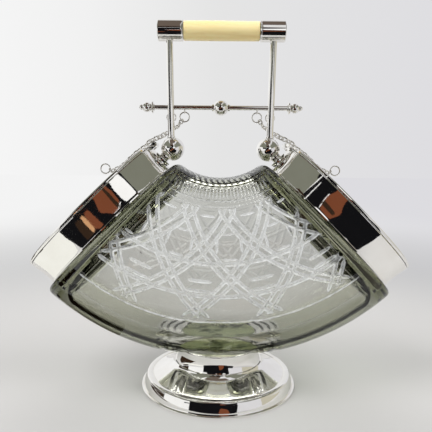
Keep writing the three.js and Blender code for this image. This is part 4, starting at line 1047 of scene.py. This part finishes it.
def make_lid(name, side):
    shares = np.linspace(0.03, 1, 14)
    flange = -COLLAR_WALL - LID_FLANGE_GAP
    inner = flange - LID_FLANGE_WALL
    flange_low = LID_BASE - LID_FLANGE_DEPTH
    underside = LID_RIM_TOP - LID_WALL
    big, small = LID_TOP_ROUNDING, LID_BASE_ROUNDING
    rim = [(-big - 0.1, LID_RIM_TOP), *arc(-big, LID_RIM_TOP - big, big, QUARTER, 0, 6)]
    rim += [*arc(-small, LID_BASE + small, small, 0, -QUARTER, 3), (flange + 0.1, LID_BASE)]
    rim += [(flange, LID_BASE - 0.1), (flange, flange_low + 0.3), (flange - 0.3, flange_low)]
    rim += [(inner + 0.2, flange_low), (inner, flange_low + 0.2), (inner, underside)]
    rings = dome_rings(1.9, LID_RIM_TOP, shares)
    rings += oval_rings(TOP_HALF_LENGTH, TOP_HALF_WIDTH, rim)
    rings += dome_rings(-inner, underside, shares[::-1])
    leaf_end = LID_KNUCKLE_EDGE - 0.2
    low = (TOP_HALF_LENGTH - 1.5, -leaf_end, LID_BASE + 0.3)
    leaf = block(low, (HINGE_REACH, leaf_end, LID_BASE + 0.3 + LEAF_THICKNESS))
    plate = merge(loft(rings), knuckle(-LID_KNUCKLE_EDGE, LID_KNUCKLE_EDGE), leaf)
    settle_silver(f"{name}_lid_plate", at_mouth(plate, side), f"{name}_lid", body=f"{name}_lid")


def make_pin(name, side):
    seat = COLLAR_KNUCKLE[1] + GAP
    end = seat + PIN_HEAD_HEIGHT
    head = [(PIN_RADIUS, seat), (PIN_HEAD_RADIUS, seat)]
    head += [(PIN_HEAD_RADIUS, end - 0.4), (PIN_HEAD_RADIUS - 0.4, end)]
    profile = [(0, -end), *((radius, -height) for radius, height in head[::-1]), *head, (0, end)]
    settle_silver(f"{name}_hinge_rod", at_mouth(on_hinge(profile, 32), side), f"{name}_hinge_pin")


# Posts, balls and handle
def make_post(name, side):
    wall = COLLAR_HALF_LENGTH + trumpet_at(POST_HEIGHT)
    seat = BALL_IN_MOUTH.x - BALL_RADIUS + 0.6
    base = wall + 1.6
    profile = [(0, wall - 2.2), (6.4, wall - 2.2), (6.6, wall - 2), *arc(6.2, base - 0.4, 0.4, 0, QUARTER, 3)]
    profile += [(5.0, base + 0.05), (4.6, base + 0.3), (4.1, base + 0.9), (3.8, (base + seat) / 2)]
    profile += [(3.9, seat - 0.4), (4, seat), (TENON_RADIUS, seat), (TENON_RADIUS, seat + 5), (0, seat + 5)]
    post = turned_along_x(profile, 64, POST_HEIGHT)
    settle_silver(f"{name}_post_turning", at_mouth(post, side), f"{name}_post")


def make_ball(name, side):
    profile = [(0, -BALL_RADIUS), *arc(0, 0, BALL_RADIUS, -QUARTER, QUARTER, 48)[1:-1], (0, BALL_RADIUS)]
    settle_silver(f"{name}_ball_polished", on_side(shifted(turned(profile, 96), *BALL), side), f"{name}_ball")


def make_arm(name, side):
    lean = math.atan2(ARM_FOOT.x - ARM_HEAD.x, ARM_HEAD.z - ARM_FOOT.z)
    length = (ARM_HEAD - ARM_FOOT).length
    profile = [(0, -4), (TENON_RADIUS, -4), (TENON_RADIUS, 0.3)]
    profile += [(ARM_RADIUS + 0.5, 0.3), (ARM_RADIUS + 0.5, 1.2), (ARM_RADIUS, 1.6), (ARM_RADIUS, length)]
    profile += [(TENON_RADIUS, length), (TENON_RADIUS, length + 2.4), (0, length + 2.4)]
    arm = moved(turned(profile, 64), Matrix.Translation(ARM_FOOT) @ Matrix.Rotation(-lean, 4, "Y"))
    settle_silver(f"{name}_arm_rod", on_side(arm, side), f"{name}_arm")


def make_cap(name, side):
    inner = GRIP_LENGTH / 2 + GAP
    outer = inner + CAP_LENGTH
    groove = CAP_RADIUS - CAP_GROOVE
    profile = [(0, outer), (CAP_RADIUS - 1.2, outer), *arc(CAP_RADIUS - 0.7, outer - 0.7, 0.7, QUARTER, 0, 6)]
    profile += [(CAP_RADIUS, outer - 1), (CAP_RADIUS, inner + 1.8), (CAP_RADIUS, inner + 1.5)]
    profile += [(groove, inner + 1.3), (groove, inner + 1.0), (CAP_RADIUS, inner + 0.8)]
    profile += [(CAP_RADIUS, inner + 0.3), (CAP_RADIUS - 0.3, inner)]
    profile += [(GRIP_BORE, inner), (GRIP_BORE, outer - 6), (0, outer - 6)]
    cap = turned_along_x(profile, 96, GRIP_Z, -1)
    settle_silver(f"{name}_cap_sleeve", on_side(cap, side), f"{name}_cap")


def make_grip():
    half = GRIP_LENGTH / 2
    end = [(GRIP_RADIUS - 0.35, half), (GRIP_RADIUS - 0.05, half - 0.3)]
    profile = [(GRIP_BORE, -half), *((radius, -height) for radius, height in end)]
    for spot in np.linspace(-half + 1, half - 1, 16):
        profile.append((GRIP_RADIUS + GRIP_SWELL * (1 - (spot / half) ** 2), spot))
    profile += [*end[::-1], (GRIP_BORE, half), (GRIP_BORE, -half)]
    settle(shape("grip_sleeve", *turned_along_x(profile, 96, GRIP_Z), IVORY), "base", "ivory_grip", "grip")


def make_crossbar():
    end = CROSSBAR_HALF_LENGTH - FINIAL_LENGTH + CROSSBAR_IN_FINIAL
    profile = [(0, -end), (CROSSBAR_RADIUS, -end), (CROSSBAR_RADIUS, end), (0, end)]
    settle_silver("crossbar_rod", turned_along_x(profile, 48, CROSSBAR_Z), "crossbar")


def make_crossbar_ball():
    collar = CROSSBAR_RADIUS + 0.9
    end = CROSSBAR_BALL_RADIUS + 0.9
    bore = CROSSBAR_RADIUS + GAP
    reach = math.acos(collar / CROSSBAR_BALL_RADIUS)
    profile = [(bore, -end), (collar - 0.2, -end), (collar, -end + 0.2)]
    profile += [*arc(0, 0, CROSSBAR_BALL_RADIUS, -reach, reach, 32), (collar, end - 0.2), (collar - 0.2, end)]
    profile += [(bore, end), (bore, -end)]
    settle_silver("crossbar_ball_turning", turned_along_x(profile, 72, CROSSBAR_Z), "crossbar_ball")


def make_finial(name, side):
    """A disc, a bead and a button, turned on the end of the crossbar."""
    start = CROSSBAR_HALF_LENGTH - FINIAL_LENGTH
    neck, disc, bead, waist, tip = 2.8, 4.7, 3.9, 1.3, 2.1
    profile = [(0, start + GAP), (neck - 0.2, start + GAP), (neck, start + 0.5), (neck, start + 0.9)]
    profile += [(disc - 0.3, start + 1.15), (disc, start + 1.45)]
    profile += [(disc, start + 2.05), (disc - 0.3, start + 2.35)]
    profile += arc(0, start + 6.4, bead, -math.acos(neck / bead), math.acos(waist / bead), 20)
    profile += arc(0, CROSSBAR_HALF_LENGTH - tip, tip, -math.acos(waist / tip), QUARTER, 14)[:-1]
    profile += [(0, CROSSBAR_HALF_LENGTH)]
    finial = turned_along_x(profile, 64, CROSSBAR_Z, -1)
    settle_silver(f"{name}_finial_turning", on_side(finial, side), f"{name}_finial")


# Eyes and rings
def eye_loop(radius, steps):
    """A loop of thin wire in the YZ plane."""
    return moved(wire_ring(radius, EYE_WIRE_RADIUS, steps, 10), Matrix.Rotation(QUARTER, 4, "Z"))


def small_eye():
    """A wire eye in the YZ plane with its shank up."""
    low, high = EYE_LOOP_RADIUS, EYE_LOOP_RADIUS + EYE_SHANK_LENGTH
    profile = [(0, low - 0.1), (EYE_SHANK_RADIUS, low), (EYE_SHANK_RADIUS, high), (0, high)]
    return merge(eye_loop(EYE_LOOP_RADIUS, 32), turned(profile, 20))


def make_eye_and_ring(name, side, kind, loop, radius, x, y):
    """An eye under the crossbar or behind an arm, and the ring that swings in it."""
    eye = shifted(loop, x, y, BAR_EYE_Z)
    ring = shifted(wire_ring(radius, RING_WIRE_RADIUS), x, y, BAR_EYE_Z - EYE_DROP - radius)
    settle_silver(f"{name}_{kind}_eye_wire", on_side(eye, side), f"{name}_{kind}_eye")
    node = f"{name}_{kind}_ring"
    settle_silver(f"{node}_wire", on_side(ring, side), node, body=node)


def make_small_fittings(name, side):
    share = (BAR_EYE_Z - ARM_FOOT.z) / (ARM_HEAD.z - ARM_FOOT.z)
    arm_x = ARM_FOOT.x + (ARM_HEAD.x - ARM_FOOT.x) * share
    lying = moved(small_eye(), Matrix.Rotation(QUARTER, 4, "X"))
    make_eye_and_ring(name, side, "bar", small_eye(), RING_RADIUS, -BAR_EYE_X, 0)
    make_eye_and_ring(name, side, "arm", lying, ARM_RING_RADIUS, arm_x, ARM_EYE_Y)


def make_lid_fittings(name, side):
    low = LID_SURFACE + 0.28
    top = LID_EYE_Z - LID_EYE_LOOP_RADIUS
    profile = [(0, LID_SURFACE - 2.4), (0.6, LID_SURFACE - 2.4), (0.6, low), (2.1, low), (2.1, low + 0.4)]
    profile += [(1.8, low + 0.75), (1.0, low + 0.85), (0.65, low + 1.3), (0.6, top), (0, top + 0.1)]
    loop = shifted(eye_loop(LID_EYE_LOOP_RADIUS, 36), z=LID_EYE_Z)
    fitting = shifted(merge(loop, turned(profile, 32)), LID_EYE_REACH)
    settle_silver(f"{name}_lid_eye_wire", at_mouth(fitting, side), f"{name}_lid_eye", body=f"{name}_lid")
    away = RING_RADIUS + LID_RING_LIFT
    x = LID_EYE_REACH - away * math.sin(LID_RING_LEAN)
    ring = shifted(wire_ring(RING_RADIUS, RING_WIRE_RADIUS), x, 0, LID_EYE_Z + away * math.cos(LID_RING_LEAN))
    settle_silver(f"{name}_lid_ring_wire", at_mouth(ring, side), f"{name}_lid_ring", body=f"{name}_lid_ring")


# The chain's route, as in the CAD source: from the bar ring, behind the arm, over the hinge and along the lid
CHAIN_ROUTE = [
    (-31.07, 0, 211.7),
    (-32.6, 0.4, 209.7),
    (-35.2, 3.8, 207.4),
    (-39, 6, 205.3),
    (-43.4, 5.2, 202.6),
    (-47.4, 3, 200.1),
    (-51.6, 1.2, 198.2),
    (-56, 0.2, 196),
    (-59.8, 0, 192.1),
    (-65.4, 0.2, 187.7),
    (-71.3, 0.8, 182.4),
    (-76.7, 1.4, 177.9),
    (-81.1, 2, 175.1),
    (-85.72, 2.2, 172.77),
]
CHAIN_WIRE = 0.56
LINK_PITCH = 3.1
LINK_HALF_LENGTH = 2.4
LINK_HALF_WIDTH = 1.7
END_LINK_HALF_LENGTH = 2.0
LINK_SWAY = 0.25
LINK_SWAY_PACE = 2.4
UPPER_SHARE = 0.3
LOWER_LENGTH = 9.0


def route_points(count=1200):
    """Evenly dense points on a smooth curve through the route."""
    knots = np.array(CHAIN_ROUTE, float)
    knots = np.vstack([2 * knots[0] - knots[1], knots, 2 * knots[-1] - knots[-2]])
    out = []
    for t in np.linspace(0, len(knots) - 3 - 1e-9, count):
        f = t % 1
        a, b, c, d = knots[int(t) : int(t) + 4]
        bow = (2 * a - 5 * b + 4 * c - d) * f * f + (3 * b - a - 3 * c + d) * f**3
        out.append(0.5 * (2 * b + (c - a) * f + bow))
    return np.array(out)


ROUTE = route_points()
ROUTE_WAYS = np.concatenate([[0], np.cumsum(np.linalg.norm(np.diff(ROUTE, axis=0), axis=1))])


def route_at(way):
    return np.array([np.interp(way, ROUTE_WAYS, ROUTE[:, k]) for k in range(3)])


def oval_link(half_length):
    """A link of wire in the XY plane, long along X."""
    path = []
    for side in (1, -1):
        for angle in np.linspace(-QUARTER, QUARTER, 9):
            x = half_length - LINK_HALF_WIDTH + LINK_HALF_WIDTH * math.cos(angle)
            path.append((side * x, side * LINK_HALF_WIDTH * math.sin(angle), 0))
    return wire_loop(path, CHAIN_WIRE, 8)


def chain_links():
    """(links, way of each): real interlinked links, each a quarter turn from the last."""
    length = ROUTE_WAYS[-1]
    count = round((length - 2 * LINK_PITCH) / LINK_PITCH)
    ways = np.linspace(0, length, count + 1)
    links = []
    for index, way in enumerate(ways):
        along = route_at(min(way + 0.5, length)) - route_at(max(way - 0.5, 0))
        along /= np.linalg.norm(along)
        across = np.cross((0, 1, 0), along)
        across /= np.linalg.norm(across)
        beside = np.cross(along, across)
        roll = math.pi / 4 * (1 if index % 2 else -1) + LINK_SWAY * math.sin(LINK_SWAY_PACE * index)
        first = across * math.cos(roll) + beside * math.sin(roll)
        place = np.eye(4)
        place[:3] = np.column_stack([along, first, np.cross(along, first), route_at(way)])
        is_end = index in (0, count)
        links.append(moved(oval_link(END_LINK_HALF_LENGTH if is_end else LINK_HALF_LENGTH), place))
    return links, ways


def make_chain(name, side):
    """Three stretches: the upper one at the bar ring, the middle one along the lid and the lower one at the
    lid's ring.
    """
    links, ways = chain_links()
    length = ROUTE_WAYS[-1]
    upper_stop = length * UPPER_SHARE
    lower_start = length - LOWER_LENGTH
    limits = {"upper": (0, upper_stop), "middle": (upper_stop, lower_start), "lower": (lower_start, math.inf)}
    pieces = {}
    for part, (start, stop) in limits.items():
        members = merge(*(link for link, way in zip(links, ways) if start <= way < stop))
        pieces[part] = shape(f"{name}_chain_{part}", *on_side(members, side), SILVER, sharp_angle=60)

    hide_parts(f"{name}_chain")
    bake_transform(pieces["upper"])
    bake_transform(pieces["middle"])
    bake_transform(pieces["lower"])


SIDE_MAKERS = (
    make_collar,
    make_lid,
    make_pin,
    make_post,
    make_ball,
    make_arm,
    make_cap,
    make_finial,
    make_small_fittings,
    make_lid_fittings,
    make_chain,
)
for side_name, side_sign in SIDES:
    for make in SIDE_MAKERS:
        make(side_name, side_sign)
make_grip()
make_crossbar()
make_crossbar_ball()

# The hidden CAD nodes that stay
KEPT = {
    "foot_bedding": PLASTER,
    "left_collar_bedding": CEMENT,
    "right_collar_bedding": CEMENT,
    "grip_rod": STEEL,
    "left_post_nut": STEEL,
    "right_post_nut": STEEL,
}
for node_name, node_material in KEPT.items():
    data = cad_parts[node_name].data
    data.materials.clear()
    data.materials.append(node_material)


# Studio
BACKDROP_RIGHT = (0.72, 0.715, 0.745, 1)


def map_range(tree, level, low, high, **settings):
    """The share of the way that a level has come from low to high."""
    node = add_node(tree, "ShaderNodeMapRange", {"Value": level}, From_Min=low, From_Max=high, **settings)
    return node.outputs["Result"]


def tone_across(tree, place, reach, *stops):
    """The backdrop's tone by how far a place lies to the left or right: paler on the left."""
    split = add_node(tree, "ShaderNodeSeparateXYZ", {"Vector": place})
    return ramp(tree, map_range(tree, split.outputs["X"], -reach, reach), *stops)


def make_world():
    world = bpy.data.worlds.new("studio")
    world.use_nodes = True
    tree = world.node_tree
    tree.nodes.clear()
    direction = add_node(tree, "ShaderNodeTexCoord").outputs["Generated"]
    stops = (0.0, grey(0.93)), (0.25, grey(0.88)), (0.5, grey(0.78)), (1.0, BACKDROP_RIGHT)
    tone = tone_across(tree, direction, 0.5, *stops)
    shown = add_node(tree, "ShaderNodeBackground", {"Color": tone}, Strength=1.0)
    fill = add_node(tree, "ShaderNodeBackground", Color=grey(1.0), Strength=0.45)
    rays = add_node(tree, "ShaderNodeLightPath").outputs
    seen = of_two(tree, "MAXIMUM", rays["Is Camera Ray"], rays["Is Glossy Ray"])
    seen = of_two(tree, "MAXIMUM", seen, rays["Is Transmission Ray"])
    surface = mixed(tree, seen, fill.outputs["Background"], shown.outputs["Background"])
    add_node(tree, "ShaderNodeOutputWorld", {"Surface": surface})
    bpy.context.scene.world = world


def add_sheet(name, corners, material):
    """A flat sheet from its corners."""
    mesh = bpy.data.meshes.new(name)
    mesh.from_pydata([[value * MM for value in corner] for corner in corners], [], [range(len(corners))])
    mesh.materials.append(material)
    return add_object(name, mesh)


def make_floor():
    """A pale floor that keeps the shadow near the object and turns into the backdrop further off."""
    material, tree = new_material("floor")
    near = add_node(tree, "ShaderNodeBsdfPrincipled", Roughness=0.75, Specular_IOR_Level=0.2)
    near.inputs["Base Color"].default_value = (0.54, 0.531, 0.521, 1)
    place = add_node(tree, "ShaderNodeNewGeometry").outputs["Position"]
    away = add_node(tree, "ShaderNodeVectorMath", {0: place}, operation="LENGTH").outputs["Value"]
    stops = (0.1, grey(0.9)), (0.5, grey(0.78)), (0.9, BACKDROP_RIGHT)
    feeds = {
        "Color": tone_across(tree, place, 1.0, *stops),
        "Strength": map_range(tree, away, 0.4, 1.35, To_Min=0.76, interpolation_type="SMOOTHSTEP"),
    }
    far = add_node(tree, "ShaderNodeEmission", feeds)
    share = map_range(tree, away, 0.2, 0.6, interpolation_type="SMOOTHSTEP")
    surface = mixed(tree, share, near.outputs["BSDF"], far.outputs["Emission"])
    add_node(tree, "ShaderNodeOutputMaterial", {"Surface": surface})
    corners = [(x * FLOOR_REACH, y * FLOOR_REACH, 0) for x, y in ((-1, -1), (1, -1), (1, 1), (-1, 1))]
    floor = add_sheet("floor", corners, material)


BLACK = (0.006, 0.006, 0.007, 1)
BROWN = (0.19, 0.06, 0.028, 1)
DARK_BROWN = (0.035, 0.02, 0.012, 1)
TAN = (0.62, 0.34, 0.17, 1)
SMOKE = (0.2, 0.205, 0.165, 1)
WHITE = (1, 1, 1, 1)
UMBER = (0.14, 0.11, 0.09, 1)
CREAM = (0.55, 0.52, 0.42, 1)
PALE = (0.92, 0.92, 0.87, 1)
FLOOR_REACH = 12000
WALL_Y = -950
NEAR_Y = -200
CEILING_Z = 1600
SIDE_X = 800
LAYER = 2

# What the polished silver mirrors: a dark room with brown furniture, a window and grey walls. A row is the
# plane that the card lies in, its layer over the cards behind it, its colour and its corners in that plane.
CARDS = [
    ("wall", 0, BLACK, [(-620, 0), (450, 0), (530, 420), (290, 640), (-260, 640), (-460, 360)]),
    ("wall", 0, BLACK, [(-1100, 280), (-500, 280), (-460, 420), (-500, 450), (-1100, 550)]),
    ("wall", 0, DARK_BROWN, [(-260, 640), (290, 640), (120, 780), (60, 1500), (-440, 1500), (-440, 780)]),
    ("wall", 1, UMBER, [(-400, 850), (60, 850), (60, 1600), (-440, 1600)]),
    ("wall", 1, BROWN, [(-140, 0), (150, 0), (200, 150), (40, 275), (-80, 225), (-137, 160)]),
    ("wall", 2, DARK_BROWN, [(165, 105), (130, 70), (-70, 235), (-30, 285)]),
    ("wall", 1, BROWN, [(-300, 0), (-225, 0), (-262, 50), (-330, 50)]),
    ("wall", 3, WHITE, [(240, 165), (500, 375), (250, 620), (35, 355)]),
    ("wall", 2, WHITE, [(-75, 610), (-90, 625), (-375, 350), (-360, 335)]),
    ("wall", 2, WHITE, [(30, 290), (-70, 243), (-145, 175), (-137, 165), (-65, 232), (32, 278)]),
    (
        "wall",
        0,
        SMOKE,
        [(-500, 450), (-460, 420), (-260, 640), (-440, 780), (-440, 1600), (-1100, 1600), (-1100, 550)],
    ),
    ("wall", 0, SMOKE, [(530, 420), (1100, 420), (1100, 1400), (500, 1400), (290, 640)]),
    ("left", 0, SMOKE, [(-950, 500), (250, 500), (250, 1600), (-950, 1600)]),
    ("right", 0, SMOKE, [(-950, 500), (250, 500), (250, 1600), (-950, 1600)]),
    ("left", 0, DARK_BROWN, [(-100, 0), (450, 0), (450, 300), (-100, 300)]),
    ("right", 0, CREAM, [(-400, 0), (500, 0), (500, 500), (-400, 500)]),
    ("near", 0, BLACK, [(-150, 0), (75, 0), (75, 55), (-150, 55)]),
    ("near", 1, BROWN, [(0, 0), (50, 0), (40, 25), (10, 35)]),
    ("floor", 1, BLACK, [(-165, -200), (165, -200), (260, -340), (750, -950), (-750, -950), (-260, -340)]),
    ("floor", 2, DARK_BROWN, [(-152, -335), (-132, -405), (-290, -720), (-270, -490)]),
    ("floor", 2, TAN, [(-132, -409), (-120, -445), (-262, -780), (-278, -713)]),
    ("floor", 2, BROWN, [(-120, -445), (-98, -517), (-129, -621), (-225, -950), (-300, -950), (-262, -780)]),
    ("floor", 2, BROWN, [(-140, -950), (150, -950), (40, -794), (-1, -740), (-40, -740)]),
    ("ceiling", 0, UMBER, [(-700, -950), (450, -950), (450, 500), (-500, 500)]),
    ("left", 0, BLACK, [(-950, 300), (-500, 300), (-500, 500), (-950, 500)]),
    ("floor", 0.5, PALE, [(-300, -280), (-150, -280), (-205, -100), (-205, 30), (-300, 30)]),
    ("floor", 1, DARK_BROWN, [(-200, -60), (-95, -75), (-100, 50), (-200, 60)]),
    ("floor", 1, DARK_BROWN, [(-500, -50), (-280, -40), (-280, 60), (-500, 90)]),
]


def card_corner(plane, layer, a, b):
    rise = LAYER * layer
    places = {
        "wall": (a, WALL_Y + rise, b),
        "near": (a, NEAR_Y + rise, b),
        "ceiling": (a, b, CEILING_Z - rise),
        "floor": (a, b, rise),
        "left": (rise - SIDE_X, a, b),
        "right": (SIDE_X - rise, a, b),
    }
    return places[plane]


def rounded(corners, share=0.14, rounds=2):
    """The outline with its corners cut off again and again."""
    for _ in range(rounds):
        cut = []
        for (a, b), (c, d) in zip(corners, corners[1:] + corners[:1]):
            cut.append((a + (c - a) * share, b + (d - b) * share))
            cut.append((c + (a - c) * share, d + (b - d) * share))
        corners = cut
    return corners


def make_card(name, plane, layer, colour, corners):
    """A studio card that only reflections see. Its corners are rounded where it lies over another."""
    material, tree = new_material(name)
    glow = add_node(tree, "ShaderNodeEmission", Color=colour, Strength=1.0)
    add_node(tree, "ShaderNodeOutputMaterial", {"Surface": glow.outputs["Emission"]})
    outline = rounded(corners) if layer else corners
    card = add_sheet(name, [card_corner(plane, layer, a, b) for a, b in outline], material)
    card.visible_camera = False
    card.visible_diffuse = False
    card.visible_transmission = False
    card.visible_volume_scatter = False
    card.visible_shadow = False


# Lamps: name, place, the height on the object that it points at, its size and its power in watts
LAMPS = [
    ("key", (-0.9, -0.5, 1.3), 0.12, (0.9, 0.9), 17),
    ("fill", (1.0, -0.4, 1.1), 0.12, (0.7, 0.9), 9),
    ("back", (0.0, 1.0, 1.3), 0.1, (1.6, 0.5), 10),
]


def make_lamp(name, place, target_height, size, power):
    data = bpy.data.lights.new(name, "AREA")
    data.shape = "RECTANGLE"
    data.size, data.size_y = size
    data.energy = power
    lamp = add_object(name, data)
    lamp.location = place
    lamp.rotation_euler = (Vector((0, 0, target_height)) - Vector(place)).to_track_quat("-Z", "Y").to_euler()
    lamp.visible_glossy = False


# Camera, placed by fitting the photograph
FRAME_PIXELS = 432
FOCAL_PIXELS = 470
SENSOR_WIDTH = 36
CAMERA_PLACE = (-0.003, -0.376, 0.174)
CAMERA_PITCH = 5.6
CAMERA_ROLL = 0.55


def make_camera():
    data = bpy.data.cameras.new("camera")
    data.sensor_width = SENSOR_WIDTH
    data.lens = SENSOR_WIDTH * FOCAL_PIXELS / FRAME_PIXELS
    camera = add_object("camera", data)
    camera.matrix_world = (
        Matrix.Translation(CAMERA_PLACE)
        @ Matrix.Rotation(math.radians(90 - CAMERA_PITCH), 4, "X")
        @ Matrix.Rotation(math.radians(CAMERA_ROLL), 4, "Z")
    )
    bpy.context.scene.camera = camera


make_world()
make_floor()
for card_index, card_row in enumerate(CARDS):
    make_card(f"card_{card_index:02d}", *card_row)
for lamp_row in LAMPS:
    make_lamp(*lamp_row)
make_camera()
bpy.context.scene.view_settings.view_transform = "Standard"
